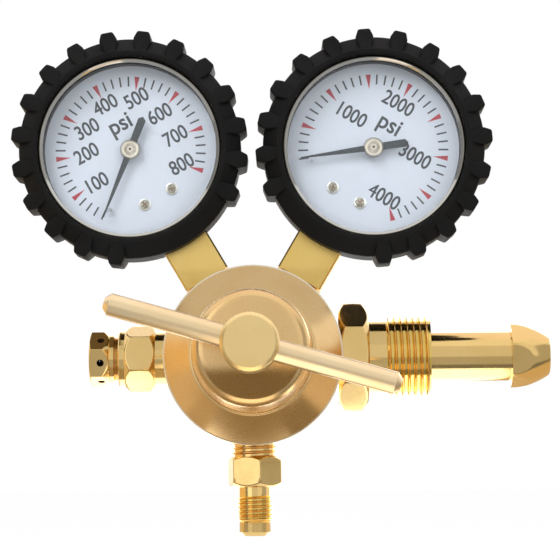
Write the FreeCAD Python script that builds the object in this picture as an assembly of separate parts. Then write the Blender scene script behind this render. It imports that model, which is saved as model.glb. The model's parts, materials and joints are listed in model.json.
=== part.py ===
import FreeCAD, Part
import math
import os

from FreeCAD import Vector

# Gas pressure regulator with two gauges. Millimetres, +Z up, +X towards the cylinder inlet,
# and the front, with the T-handle and the dials, towards -Y.
# The origin is the centre of the inlet nipple's end face, where the cylinder valve holds the part.
# Everything is first drawn about the body's centre, where the axes of all five ports meet.

# Clearances
still_gap = 0.05        # radial gap between pieces that are screwed or pressed together
run_gap = 0.06          # radial gap of a shaft that turns or slides in its hole
rest_gap = 0.1          # gap between a moving piece and what it rests on
free_gap = 0.3          # gap beside a moving piece that only has to clear

# Body block
body_radius = 22.0
body_back = 14.0        # from the port plane to the back face
body_shoulder = 9.0     # from the port plane to the shoulder that the bonnet meets
body_chamfer = 1.4
spigot_radius = 21.0
spigot_length = 5.0
chamber_radius = 15.5
chamber_depth = 5.0
nozzle_thread_radius = 6.0
nozzle_thread_length = 6.0
valve_chamber_radius = 4.6
valve_chamber_depth = 13.5
port_boss_radius = 8.6
port_face = 24.0        # from the body's centre to the face of each port
port_depth = 11.5
port_thread_radius = 6.6
port_thread_root = 5.9
port_thread_pitch = 1.41
inlet_passage_radius = 2.0
gauge_passage_radius = 1.5
cross_hole_radius = 1.2
cross_hole_ring_radius = 13.4  # on which the holes from the chamber to the low ports lie

# Clock angles of the ports about the body, from straight up towards the inlet
low_gauge_angle = -30.35
high_gauge_angle = 30.35
inlet_angle = 90.0
outlet_angle = 180.0
relief_angle = 270.0

# Bonnet
skirt_wall = 2.2
flange_radius = 25.7
flange_thickness = 4.1
flange_edge = 0.6
flange_gap = 0.5        # between the shoulder plane of the diaphragm and the flange's back
cone_height = 10.4
dome_foot_radius = 17.9
dome_fillet = 1.0
dome_top_radius = 13.4
dome_height = 25.0
dome_taper = 0.8
dome_shoulder = 4.4
dome_wall = 3.7
bonnet_crown = 8.0      # thickness of the threaded crown
vent_radius = 1.0

# Diaphragm stack
diaphragm_radius = 20.0
diaphragm_thickness = 0.6
diaphragm_ripple_radius = 13.7
diaphragm_ripple = 0.9
washer_inner_radius = 15.6
washer_thickness = 1.0
plate_radius = 12.0
plate_thickness = 2.0
plate_rim = 0.8
stud_radius = 1.5
stud_length = 3.3       # below the diaphragm
diaphragm_nut_flats = 5.5
diaphragm_nut_height = 1.55

# Range spring and its button
range_wire_radius = 1.4
range_coil_radius = 9.4
range_turns = 4.5
spring_room = 23.3      # length between the plate and the button at rest
button_thickness = 4.0
button_pilot_radius = 7.4
button_pilot_height = 2.0
button_dimple_radius = 3.6
button_dimple_depth = 1.5

# Adjusting screw and T-handle
screw_radius = 6.0
screw_root = 5.1
screw_pitch = 1.5
screw_tip_radius = 3.2
screw_exposed = 9.0     # from the bonnet's crown to the hub
hub_radius = 7.7
hub_length = 14.0
hub_chamfer = 0.9
handle_radius = 3.0
handle_length = 80.0
handle_offset = 0.7     # the bar sits a little to the right in its hole
handle_slope = 15.9     # degrees down towards the inlet side
handle_end_chamfer = 0.8
handle_fit = 0.02

# Main valve
nozzle_head_flats = 12.0
nozzle_head_height = 1.6
nozzle_bore = 1.6       # clear of the stud, which enters it when the diaphragm is pressed down
seat_lip_radius = 2.2
seat_lip_height = 0.8
poppet_radius = 3.6
poppet_length = 5.0
poppet_stem_radius = 0.9
poppet_spindle_radius = 1.3
poppet_spindle_length = 2.5
seal_radius = 3.0
seal_thickness = 1.5
seal_proud = 0.5
poppet_wire_radius = 0.4
poppet_coil_radius = 2.5
poppet_turns = 4.0

# Inlet nipple and filter
nipple_radius = 7.2
nipple_shank = 51.0     # from the port face to the nose's shoulder
nipple_bore = 2.4
nose_length = 11.6
nose_base_radius = 9.3
nose_end_radius = 5.7
nose_bulge = 0.95       # how far the nose's side swells from a straight cone
nose_crown = 0.4        # height of the slightly rounded end
nose_flats = 16.5
nose_flat_turn = 10.0   # degrees that one flat is turned down from the front
filter_radius = 3.4
filter_length = 7.5
filter_wall = 0.9

# Inlet nut
nut_flats = 27.5
nut_hex_length = 8.8
nut_chamfer_length = 1.9
nut_collar_radius = 10.6
nut_collar_length = 5.2
nut_thread_radius = 12.25
nut_thread_root = 10.75
nut_thread_pitch = 1.814
nut_thread_length = 12.9
nut_thread_chamfer = 1.0
nut_stand_off = 0.5     # gap to the body's port face

# Relief valve
relief_neck_radius = 7.8
relief_neck_length = 4.6
relief_hex_flats = 17.0
relief_hex_length = 8.9
relief_hex_chamfer = 1.7
relief_hex_turn = 8.0
relief_shoulder_radius = 8.2
relief_shoulder_length = 1.8
relief_washer_radius = 6.4
relief_washer_thickness = 1.4
cap_neck_radius = 7.0
cap_neck_length = 1.2
cap_flats = 14.0
cap_hex_length = 5.9
cap_inner_chamfer = 1.9
cap_outer_chamfer = 0.5
cap_hex_turn = -12.0
cap_tube_radius = 5.5
cap_tube_length = 6.0
cap_bore = 4.3
cap_end_wall = 1.8
cap_vent_radius = 1.05
relief_seat_bore = 2.0
relief_seat_depth = 9.3  # from the shoulder's outer face to the seat
relief_lip_radius = 2.6
relief_lip_height = 0.4
relief_disc_radius = 4.0
relief_disc_thickness = 1.5
relief_guide_radius = 2.3
relief_guide_length = 1.5
relief_stem_radius = 1.1
relief_stem_length = 7.0
relief_wire_radius = 0.45
relief_coil_radius = 3.3
relief_turns = 7.0

# Outlet fitting
outlet_taper_radius = 6.85
outlet_taper_length = 4.8
outlet_flats = 14.2
outlet_hex_length = 8.6
outlet_hex_chamfer = 0.6
outlet_hex_turn = 18.0
outlet_neck_radius = 4.57
outlet_neck_length = 2.7
flare_thread_radius = 5.55
flare_thread_root = 4.6
flare_thread_pitch = 1.27
flare_thread_length = 7.4
flare_thread_chamfer = 0.7
flare_collar_radius = 4.5
flare_collar_length = 3.1
flare_end_radius = 3.4
outlet_bore = 2.2

# Gauges
case_radius = 25.6
case_wall = 0.5
case_back = 12.0
case_front = 11.0
bezel_wall = 0.75
bezel_lip = 0.5         # how far the bezel reaches inwards over the lens
bezel_front = 14.0
bezel_skirt = 0.6
bezel_edge = 0.8
lens_thickness = 1.8
dial_thickness = 0.6
dial_back = 7.0
dial_hole = 1.2
dial_screw_ring_radius = 16.5
dial_screw_spread = 16.0  # degrees each side of straight down
dial_screw_head = 1.65
dial_screw_head_height = 0.9
dial_screw_shank = 1.1
dial_screw_depth = 4.0
recess_width = 0.5
recess_length = 2.2
recess_depth = 0.5
stop_pin_radius = 0.45
stop_pin_ring_radius = 18.4
stop_pin_clock = 228.8
stop_pin_height = 3.0
pointer_rest_clock = 232.0
pointer_tip = 21.5
pointer_tail = 10.3
pointer_tail_point = 0.9
pointer_tail_width = 2.3
pointer_root_width = 2.0
pointer_tip_width = 0.36
pointer_boss = 2.9
pointer_thickness = 0.4
pointer_height = 2.0    # from the dial's front to the pointer
pointer_cap_radius = 2.45
pointer_cap_height = 0.95
pointer_cap_dimple = 0.45
stem_width = 14.0
stem_chamfer = 0.5
stem_thread_shown = 2.5
stem_bore = 1.5
block_top = 13.6        # below the gauge's centre
ledge_top = 9.0
case_screw_spread = 4.0
case_screw_inset = 7.2  # from the case's outside to the middle of each screw
case_screw_head = 2.6
case_screw_head_height = 1.6
case_screw_shank = 1.45
case_screw_depth = 8.0

# Gauge movement
arbor_radius = 0.55
sector_axle_radius = 0.8
gear_module = 0.25
pinion_teeth = 10
sector_teeth = 80       # of the whole wheel that the sector is cut from
kept_sector_teeth = 11
sector_pivot_angle = -60.0
tooth_share = 0.42      # tooth thickness as a share of the pitch
gear_backlash = 0.05
pinion_length = 2.4
sector_thickness = 0.8
sector_arm_width = 2.2
sector_tail = 6.5
sector_tail_angle = 5.0
link_pin_radius = 0.6
link_width = 1.8
link_thickness = 0.5
plate_gauge = 0.8       # thickness of each movement plate
plate_spacing = 5.2
back_plate_front = -0.6
plate_margin = 2.3
post_radius = 1.2
post_places = [(-7.5, 3.5), (8.5, 5.0), (-5.0, -11.0)]
hair_turns = 4
hair_inner = 1.5
hair_step = 0.8
hair_thickness = 0.15
hair_height = 0.6
tube_ring_radius = 18.5
tube_depth = 7.0
tube_thickness = 2.0
tube_wall = 0.3
tube_tip_angle = -10.0
tip_width = 2.6
tip_pin_inset = 2.675   # from the middle of the tube's ring inwards to the link's pin
tip_pin_turn = 1.287    # degrees from the tube's end to that pin

# Rubber boot
boot_wall = 6.6
boot_front = 16.0
boot_back = 14.0
boot_lip_wall = 2.4     # width of the flat front edge, outside the case's radius
boot_lip_slope = 3.6    # how far the front edge slopes back at the outer radius
boot_tread = 14.7       # from the front edge to the back of the toothed rim
boot_skirt_wall = 3.2   # wall behind the toothed rim, outside the case's radius
boot_skirt_slope = 1.8  # how far the rim's back slopes
boot_back_lip = 3.6     # how far the back edge reaches inwards over the case
boot_back_chamfer = 1.2
boot_tooth_height = 2.15
boot_tooth_base = 5.8
boot_tooth_top = 3.9
boot_tooth_toe = 3.6
boot_tooth_slope = 1.4
boot_tooth_pitch = 18.0
boot_tooth_turn = 1.3   # how far the boot sits turned clockwise on its gauge
boot_teeth_left_out = 1  # on each side of the stem, beside the one at the stem
boots_gap = 2.1         # between the tooth tips of the two boots

# Places along the front axis, measured forwards from the port plane
clamp_face = body_shoulder + spigot_length
chamber_floor = clamp_face - chamber_depth
washer_top = clamp_face + diaphragm_thickness + washer_thickness
flange_back = clamp_face + flange_gap
flange_front = flange_back + flange_thickness
dome_foot = flange_front + cone_height
crown_top = dome_foot + dome_height
crown_under = crown_top - bonnet_crown
plate_under = clamp_face + diaphragm_thickness + still_gap
plate_top = plate_under + plate_thickness
button_under = plate_top + spring_room
button_top = button_under + button_thickness
hub_back = crown_top + screw_exposed
hub_front = hub_back + hub_length
handle_front = hub_back + hub_length / 2
nozzle_end = chamber_floor - nozzle_thread_length
seat_plane = nozzle_end - seat_lip_height
seal_front = seat_plane - rest_gap
poppet_front = seal_front - seal_proud
poppet_back = poppet_front - poppet_length
valve_chamber_floor = nozzle_end - valve_chamber_depth
stud_end = clamp_face - stud_length

# Places along the inlet, outlet and relief axes, measured outwards from the body's centre
port_floor = port_face - port_depth
nose_shoulder = port_face + nipple_shank
nose_end = nose_shoulder + nose_length
nut_back = port_face + nut_stand_off
nut_hex_end = nut_back + nut_hex_length
nut_thread_start = nut_hex_end + nut_collar_length
nut_end = nut_thread_start + nut_thread_length
relief_hex_start = port_face + relief_neck_length
relief_hex_end = relief_hex_start + relief_hex_length
relief_shoulder_end = relief_hex_end + relief_shoulder_length
cap_start = relief_shoulder_end + relief_washer_thickness
cap_hex_start = cap_start + cap_neck_length
cap_end = cap_hex_start + cap_hex_length
cap_bore_end = cap_end - cap_end_wall
relief_seat = relief_shoulder_end - relief_seat_depth
outlet_hex_start = port_face + outlet_taper_length
outlet_hex_end = outlet_hex_start + outlet_hex_length
flare_thread_start = outlet_hex_end + outlet_neck_length
flare_collar_start = flare_thread_start + flare_thread_length
flare_start = flare_collar_start + flare_collar_length
flare_end = flare_start + flare_collar_radius - flare_end_radius

# Radii in a gauge that follow the case, and the gauges' distance from the body's centre
bezel_radius = case_radius + still_gap + bezel_wall
bezel_lip_radius = case_radius - bezel_lip
case_screw_drop = case_radius - case_screw_inset
boot_radius = case_radius + boot_wall
boot_lip_radius = case_radius + boot_lip_wall
boot_skirt_radius = case_radius + boot_skirt_wall
boot_back_lip_radius = case_radius - boot_back_lip
boot_tooth_radius = boot_radius + boot_tooth_height
gauge_reach = (boot_tooth_radius + boots_gap / 2) / math.sin(math.radians(high_gauge_angle))

# Places in a gauge, measured forwards from the port plane, or down from the gauge's centre
dial_front = dial_back + dial_thickness
lens_front = case_front + lens_thickness
pointer_back = dial_front + pointer_height
pointer_front = pointer_back + pointer_thickness
front_plate_back = back_plate_front + plate_spacing
gear_back = back_plate_front + 1.0
thread_end_down = gauge_reach - port_floor - still_gap
stem_foot_down = gauge_reach - port_face - stem_thread_shown
pitch_pinion = gear_module * pinion_teeth / 2
pitch_sector = gear_module * sector_teeth / 2
pivot_distance = pitch_pinion + pitch_sector + gear_backlash


# Drawing helpers. Turned pieces are drawn as (radius, height) points and turned about +Z.

def closed_face(points):
    """A flat face in the XZ plane. A step of four numbers is an arc: its middle, then its end."""
    edges = []
    here = Vector(points[0][0], 0, points[0][1])
    for step in points[1:] + points[:1]:
        end = Vector(step[-2], 0, step[-1])
        if len(step) == 4:
            edges.append(Part.Arc(here, Vector(step[0], 0, step[1]), end).toShape())
        elif end.distanceToPoint(here) > 1e-7:
            edges.append(Part.LineSegment(here, end).toShape())
        here = end
    return Part.Face(Part.Wire(edges))


def turned(points):
    return closed_face(points).revolve(Vector(0, 0, 0), Vector(0, 0, 1), 360)


def rod(radius, low, high):
    return Part.makeCylinder(radius, high - low, Vector(0, 0, low))


def ring(outer, inner, low, high):
    return turned([(inner, low), (outer, low), (outer, high), (inner, high)])


def disc_at(x, y, radius, low, high):
    return Part.makeCylinder(radius, high - low, Vector(x, y, low))


def block(x_low, x_high, y_low, y_high, z_low, z_high):
    corner = Vector(x_low, y_low, z_low)
    return Part.makeBox(x_high - x_low, y_high - y_low, z_high - z_low, corner)


def prism(corners, low, high):
    """A flat outline of (x, y) corners, drawn up from low to high."""
    path = [Vector(x, y, low) for x, y in corners]
    face = Part.Face(Part.makePolygon(path + path[:1]))
    return face.extrude(Vector(0, 0, high - low))


def polar(radius, degrees):
    angle = math.radians(degrees)
    return radius * math.cos(angle), radius * math.sin(angle)


def hexagon(flats, low, high, flat_turn, chamfer_low=0.0, chamfer_high=0.0):
    """A hexagon along +Z. One flat faces -Y, turned by flat_turn, and its corners are chamfered."""
    corner_radius = flats / math.sqrt(3)
    first = -90.0 + flat_turn + 30.0
    bar = prism([polar(corner_radius, first + 60 * k) for k in range(6)], low, high)
    face_radius = flats / 2 * 0.97
    shape = [(0, low)]
    if chamfer_low:
        shape.append((face_radius, low))
    shape.append((corner_radius, low + chamfer_low))
    shape.append((corner_radius, high - chamfer_high))
    if chamfer_high:
        shape.append((face_radius, high))
    shape.append((0, high))
    return bar.common(turned(shape))


def ridges(crest, root, pitch, low, high):
    """The outside of a screw thread as plain ridges with flat crests, from low up to high."""
    count = int((high - low) / pitch + 1e-6)
    land = pitch / 8
    flank = pitch / 2 - land
    points = [(root, low)]
    for k in range(count):
        foot = low + k * pitch + land / 2
        points.append((root, foot))
        points.append((crest, foot + flank))
        points.append((crest, foot + flank + land))
        points.append((root, foot + 2 * flank + land))
    points.append((root, high))
    return points


def threaded(crest, root, pitch, low, high, bore=0.0):
    return turned([(bore, low)] + ridges(crest, root, pitch, low, high) + [(bore, high)])


def coil(wire, radius, turns, low, high):
    """A compression spring between two flat faces, its wire clear of both."""
    start = low + wire + rest_gap / 2
    rise = high - low - 2 * wire - rest_gap
    helix = Part.makeHelix(rise / turns, rise, radius)
    section = Part.Wire([Part.Edge(Part.Circle(Vector(radius, 0, 0), Vector(0, 1, 0), wire))])
    spring = Part.Wire(helix).makePipeShell([section], True, True)
    spring.translate(Vector(0, 0, start))
    return spring


def joined(pieces):
    return pieces[0].fuse(pieces[1:]).removeSplitter()


def spun(shape, degrees):
    """A copy turned about +Z."""
    copy = shape.copy()
    copy.rotate(Vector(0, 0, 0), Vector(0, 0, 1), degrees)
    return copy


def to_front(shape):
    """Lay a piece drawn along +Z so that +Z becomes the front, and +Y becomes up."""
    copy = shape.copy()
    copy.rotate(Vector(0, 0, 0), Vector(1, 0, 0), 90)
    return copy


def to_port(shape, clock):
    """Lay a piece drawn along +Z so that it points out of the port at a clock angle."""
    copy = shape.copy()
    copy.rotate(Vector(0, 0, 0), Vector(0, 1, 0), clock)
    return copy


# Regulator body and bonnet

def body():
    outer = turned([
        (0, -body_back),
        (body_radius - body_chamfer, -body_back),
        (body_radius, body_chamfer - body_back),
        (body_radius, body_shoulder),
        (spigot_radius, body_shoulder),
        (spigot_radius, clamp_face),
        (0, clamp_face),
    ])
    clocks = [low_gauge_angle, high_gauge_angle, inlet_angle, outlet_angle, relief_angle]
    boss = turned([
        (0, 0),
        (port_boss_radius, 0),
        (port_boss_radius, port_face - flange_edge),
        (port_boss_radius - flange_edge, port_face),
        (0, port_face),
    ])
    seam_side = (outlet_angle + relief_angle) / 2
    solid = joined([to_front(spun(outer, seam_side))] + [to_port(boss, clock) for clock in clocks])
    hollows = [
        to_front(rod(chamber_radius, chamber_floor, clamp_face + 1)),
        to_front(rod(nozzle_thread_radius + still_gap, nozzle_end, chamber_floor + 1)),
        to_front(rod(valve_chamber_radius, valve_chamber_floor, nozzle_end + 1)),
        to_port(rod(inlet_passage_radius, 0, port_floor + 1), inlet_angle),
        to_port(rod(gauge_passage_radius, 0, port_floor + 1), high_gauge_angle),
    ]
    for clock in clocks:
        hollows.append(to_port(rod(port_thread_radius + still_gap, port_floor, port_face + 1), clock))
    for clock in [low_gauge_angle, outlet_angle, relief_angle]:
        x, z = polar(cross_hole_ring_radius, 90 - clock)
        hollows.append(to_front(disc_at(x, z, cross_hole_radius, 0, chamber_floor + 1)))
    for hollow in hollows:
        solid = solid.cut(hollow)
    return solid


def bonnet():
    skirt_bore = spigot_radius + still_gap
    skirt_radius = skirt_bore + skirt_wall
    skirt_back = body_shoulder + still_gap
    dome_top_wall = dome_foot_radius - dome_fillet - dome_taper
    spring_radius = dome_foot_radius - dome_wall
    foot_room = spring_radius + cone_height / 3
    hole = screw_radius + run_gap
    bend = (math.sqrt(2) - 1) / math.sqrt(2)
    shoulder_width = dome_top_wall - dome_top_radius
    outside = turned([
        (hole, skirt_back),
        (skirt_radius, skirt_back),
        (skirt_radius, flange_back),
        (flange_radius - flange_edge, flange_back),
        (flange_radius, flange_back + flange_edge),
        (flange_radius, flange_front - flange_edge),
        (flange_radius - bend * flange_edge, flange_front - bend * flange_edge,
         flange_radius - flange_edge, flange_front),
        (dome_foot_radius, dome_foot),
        (dome_foot_radius - dome_fillet * (1 - bend), dome_foot + dome_fillet * bend,
         dome_foot_radius - dome_fillet, dome_foot + dome_fillet),
        (dome_top_wall, crown_top - dome_shoulder),
        (dome_top_wall - bend * shoulder_width, crown_top - bend * dome_shoulder,
         dome_top_radius, crown_top),
        (hole + 2 * flange_edge, crown_top),
        (hole, crown_top - 2 * flange_edge),
    ])
    inside = turned([
        (0, skirt_back - 1),
        (skirt_bore, skirt_back - 1),
        (skirt_bore, washer_top),
        (foot_room, washer_top),
        (foot_room, flange_front),
        (spring_radius, dome_foot),
        (spring_radius - dome_taper, crown_under),
        (0, crown_under),
    ])
    vent = Part.makeCylinder(
        vent_radius, flange_radius, Vector(0, 0, (dome_foot + flange_front) / 2), Vector(0, -1, 0))
    return to_front(outside.cut(inside).cut(vent))


# Diaphragm stack and range spring

def diaphragm():
    low = clamp_face
    high = clamp_face + diaphragm_thickness
    hole = stud_radius + still_gap
    width = 2 * diaphragm_ripple
    left = diaphragm_ripple_radius - width / 2
    right = diaphragm_ripple_radius + width / 2
    middle = diaphragm_ripple_radius
    sheet = turned([
        (hole, low),
        (left, low),
        (middle, low - diaphragm_ripple, right, low),
        (diaphragm_radius, low),
        (diaphragm_radius, high),
        (right + diaphragm_thickness / 4, high),
        (middle, high - diaphragm_ripple, left - diaphragm_thickness / 4, high),
        (hole, high),
    ])
    return to_front(sheet)


def diaphragm_washer():
    low = clamp_face + diaphragm_thickness
    return to_front(ring(diaphragm_radius, washer_inner_radius, low, washer_top))


def diaphragm_plate():
    seat = range_coil_radius - range_wire_radius - free_gap
    plate = turned([
        (0, stud_end),
        (stud_radius, stud_end),
        (stud_radius, plate_under),
        (plate_radius, plate_under),
        (plate_radius, plate_top),
        (plate_radius - plate_rim, plate_top),
        (seat, plate_top),
        (seat - plate_rim, plate_top + plate_rim),
        (0, plate_top + plate_rim),
    ])
    return to_front(plate)


def diaphragm_nut():
    top = clamp_face - still_gap
    nut = hexagon(diaphragm_nut_flats, top - diaphragm_nut_height, top, 0, 0.3, 0)
    bore = rod(stud_radius + still_gap, top - diaphragm_nut_height - 1, top + 1)
    return to_front(nut.cut(bore))


def range_spring():
    return to_front(coil(range_wire_radius, range_coil_radius, range_turns, plate_top, button_under))


def spring_button():
    outer = dome_foot_radius - dome_wall - dome_taper - free_gap
    floor = button_top - button_dimple_depth
    button = turned([
        (0, button_under - button_pilot_height),
        (button_pilot_radius - plate_rim, button_under - button_pilot_height),
        (button_pilot_radius, button_under - button_pilot_height + plate_rim),
        (button_pilot_radius, button_under),
        (outer, button_under),
        (outer, button_top),
        (button_dimple_radius, button_top),
        (button_dimple_radius, floor),
        (0, floor),
    ])
    return to_front(button)


def adjusting_screw():
    tip = button_top - button_dimple_depth + rest_gap
    thread_start = button_top + rest_gap + screw_radius - screw_tip_radius
    screw = turned(
        [(0, tip), (screw_tip_radius, tip), (screw_tip_radius, button_top + rest_gap)]
        + ridges(screw_radius, screw_root, screw_pitch, thread_start, hub_back - screw_pitch / 2)
        + [
            (screw_root, hub_back),
            (hub_radius - hub_chamfer, hub_back),
            (hub_radius, hub_back + hub_chamfer),
            (hub_radius, hub_front - hub_chamfer),
            (hub_radius - hub_chamfer, hub_front),
            (0, hub_front),
        ])
    hole = handle_bar(handle_radius + handle_fit, 4 * hub_radius, 0)
    return to_front(screw.cut(hole))


def handle_bar(radius, length, chamfer):
    """A round bar across the hub, drawn in the front view."""
    bar = turned([
        (0, -length / 2),
        (radius - chamfer, -length / 2),
        (radius, chamfer - length / 2),
        (radius, length / 2 - chamfer),
        (radius - chamfer, length / 2),
        (0, length / 2),
    ])
    bar.rotate(Vector(0, 0, 0), Vector(0, 1, 0), 90)
    bar.translate(Vector(handle_offset, 0, 0))
    bar.rotate(Vector(0, 0, 0), Vector(0, 0, 1), -handle_slope)
    bar.translate(Vector(0, 0, handle_front))
    return bar


def t_handle_rod():
    return to_front(handle_bar(handle_radius, handle_length, handle_end_chamfer))


# Main valve

def valve_nozzle():
    head = hexagon(nozzle_head_flats, chamber_floor, chamber_floor + nozzle_head_height, 0, 0, 0.6)
    insert = turned([
        (0, seat_plane),
        (seat_lip_radius, seat_plane),
        (seat_lip_radius, nozzle_end),
        (nozzle_thread_radius, nozzle_end),
        (nozzle_thread_radius, chamber_floor),
        (0, chamber_floor),
    ])
    bore = rod(nozzle_bore, seat_plane - 1, chamber_floor + nozzle_head_height + 1)
    return to_front(head.fuse(insert).removeSplitter().cut(bore))


def poppet_seal():
    low = seal_front - seal_thickness
    return to_front(ring(seal_radius, poppet_stem_radius + still_gap, low, seal_front))


def valve_poppet():
    pocket = seal_front - seal_thickness
    poppet = turned([
        (0, poppet_back - poppet_spindle_length),
        (poppet_spindle_radius, poppet_back - poppet_spindle_length),
        (poppet_spindle_radius, poppet_back),
        (poppet_radius, poppet_back),
        (poppet_radius, poppet_front),
        (seal_radius + still_gap, poppet_front),
        (seal_radius + still_gap, pocket),
        (poppet_stem_radius, pocket),
        (poppet_stem_radius, stud_end - rest_gap),
        (0, stud_end - rest_gap),
    ])
    return to_front(poppet)


def poppet_spring():
    return to_front(coil(
        poppet_wire_radius, poppet_coil_radius, poppet_turns, valve_chamber_floor, poppet_back))


# Inlet

def inlet_nipple():
    thread = ridges(port_thread_radius, port_thread_root, port_thread_pitch,
                    port_floor + still_gap, port_face)
    side_middle = (nose_base_radius + nose_end_radius) / 2 + nose_bulge
    shank = turned([(0, port_floor + still_gap)] + thread + [
        (nipple_radius, port_face),
        (nipple_radius, nose_shoulder),
        (0, nose_shoulder),
    ])
    nose = turned([
        (0, nose_shoulder),
        (nose_base_radius, nose_shoulder),
        (side_middle, nose_shoulder + nose_length / 2, nose_end_radius, nose_end - nose_crown),
        (nose_end_radius / 2, nose_end - nose_crown / 4, 0, nose_end),
    ])
    nose = nose.common(hexagon(nose_flats, nose_shoulder, nose_end, nose_flat_turn).fuse(
        turned(nose_core())))
    solid = shank.fuse(nose)
    bore = rod(nipple_bore, port_floor - 1, nose_end + 1)
    pocket = rod(filter_radius + still_gap, port_floor - 1, port_floor + filter_length + 2 * still_gap)
    return to_port(solid.cut(bore).cut(pocket), inlet_angle)


def nose_core():
    """The round core of the nose, which keeps a full end face inside the flats."""
    return [
        (0, nose_shoulder),
        (nose_end_radius, nose_shoulder),
        (nose_end_radius, nose_end),
        (0, nose_end),
    ]


def inlet_filter():
    low = port_floor + 2 * still_gap
    high = low + filter_length - still_gap
    cup = turned([
        (0, low),
        (filter_radius, low),
        (filter_radius, high),
        (filter_radius - filter_wall, high),
        (filter_radius - filter_wall, low + filter_wall),
        (0, low + filter_wall),
    ])
    return to_port(cup, inlet_angle)


def inlet_nut():
    head = hexagon(nut_flats, nut_back, nut_hex_end, 0, nut_chamfer_length, nut_chamfer_length)
    collar = rod(nut_collar_radius, nut_hex_end, nut_thread_start)
    thread = threaded(nut_thread_radius, nut_thread_root, nut_thread_pitch, nut_thread_start, nut_end)
    envelope = turned([
        (0, nut_thread_start),
        (nut_thread_radius, nut_thread_start),
        (nut_thread_radius, nut_end - nut_thread_chamfer),
        (nut_thread_radius - nut_thread_chamfer, nut_end),
        (0, nut_end),
    ])
    bore = rod(nipple_radius + run_gap, nut_back - 1, nut_end + 1)
    solid = head.fuse([collar, thread.common(envelope)]).removeSplitter()
    return to_port(solid.cut(bore), inlet_angle)


# Relief valve

def relief_body():
    thread = ridges(port_thread_radius, port_thread_root, port_thread_pitch,
                    port_floor + still_gap, port_face)
    turned_part = turned([(0, port_floor + still_gap)] + thread + [
        (relief_neck_radius, port_face),
        (relief_neck_radius, relief_hex_end),
        (relief_shoulder_radius, relief_hex_end),
        (relief_shoulder_radius, relief_shoulder_end),
        (0, relief_shoulder_end),
    ])
    hexagonal = hexagon(relief_hex_flats, relief_hex_start, relief_hex_end, relief_hex_turn,
                        relief_hex_chamfer, relief_hex_chamfer)
    bore = turned([
        (0, port_floor - 1),
        (relief_seat_bore, port_floor - 1),
        (relief_seat_bore, relief_seat + relief_lip_height),
        (relief_lip_radius, relief_seat + relief_lip_height),
        (relief_lip_radius, relief_seat),
        (relief_disc_radius + 2 * free_gap, relief_seat),
        (relief_disc_radius + 2 * free_gap, relief_shoulder_end - cap_tube_length),
        (cap_tube_radius + still_gap, relief_shoulder_end - cap_tube_length),
        (cap_tube_radius + still_gap, relief_shoulder_end + 1),
        (0, relief_shoulder_end + 1),
    ])
    solid = turned_part.fuse(hexagonal).removeSplitter()
    return to_port(solid.cut(bore), relief_angle)


def relief_washer():
    inner = cap_tube_radius + still_gap
    return to_port(ring(relief_washer_radius, inner, relief_shoulder_end, cap_start), relief_angle)


def relief_cap():
    tube_start = relief_shoulder_end - cap_tube_length + still_gap
    tube = rod(cap_tube_radius, tube_start, cap_start)
    neck = rod(cap_neck_radius, cap_start, cap_hex_start)
    head = hexagon(cap_flats, cap_hex_start, cap_end, cap_hex_turn, cap_inner_chamfer, cap_outer_chamfer)
    solid = tube.fuse([neck, head]).removeSplitter()
    solid = solid.cut(rod(cap_bore, tube_start - 1, cap_bore_end))
    vent_at = (cap_hex_start + cap_bore_end) / 2 + cap_vent_radius / 2
    for k in range(6):
        x, y = polar(1.0, cap_hex_turn - 90 + 60 * k)
        vent = Part.makeCylinder(cap_vent_radius, cap_flats, Vector(0, 0, vent_at), Vector(x, y, 0))
        solid = solid.cut(vent)
    return to_port(solid, relief_angle)


def relief_disc():
    low = relief_seat + relief_lip_height + rest_gap
    top = low + relief_disc_thickness
    disc = turned([
        (0, low),
        (relief_disc_radius, low),
        (relief_disc_radius, top),
        (relief_guide_radius, top),
        (relief_guide_radius, top + relief_guide_length),
        (relief_stem_radius, top + relief_guide_length),
        (relief_stem_radius, top + relief_guide_length + relief_stem_length),
        (0, top + relief_guide_length + relief_stem_length),
    ])
    return to_port(disc, relief_angle)


def relief_spring():
    low = relief_seat + relief_lip_height + rest_gap + relief_disc_thickness
    return to_port(coil(relief_wire_radius, relief_coil_radius, relief_turns, low, cap_bore_end),
                   relief_angle)


# Outlet

def outlet_fitting():
    thread = ridges(port_thread_radius, port_thread_root, port_thread_pitch,
                    port_floor + still_gap, port_face)
    taper = ridges(outlet_taper_radius, port_thread_root, port_thread_pitch, port_face, outlet_hex_start)
    shank = turned([(0, port_floor + still_gap)] + thread + taper + [(0, outlet_hex_start)])
    head = hexagon(outlet_flats, outlet_hex_start, outlet_hex_end, outlet_hex_turn,
                   outlet_hex_chamfer, outlet_hex_chamfer)
    neck = rod(outlet_neck_radius, outlet_hex_end, flare_thread_start)
    flare_thread = threaded(flare_thread_radius, flare_thread_root, flare_thread_pitch,
                            flare_thread_start, flare_collar_start)
    envelope = turned([
        (0, flare_thread_start),
        (flare_thread_radius, flare_thread_start),
        (flare_thread_radius, flare_collar_start - flare_thread_chamfer),
        (flare_thread_radius - flare_thread_chamfer, flare_collar_start),
        (0, flare_collar_start),
    ])
    flare = turned([
        (0, flare_collar_start),
        (flare_collar_radius, flare_collar_start),
        (flare_collar_radius, flare_start),
        (flare_end_radius, flare_end),
        (0, flare_end),
    ])
    solid = shank.fuse([head, neck, flare_thread.common(envelope), flare]).removeSplitter()
    return to_port(solid.cut(rod(outlet_bore, port_floor - 1, flare_end + 1)), outlet_angle)


# Gauge, drawn in its own front view: x to the right, y up and away from the stem, z to the front

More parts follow.
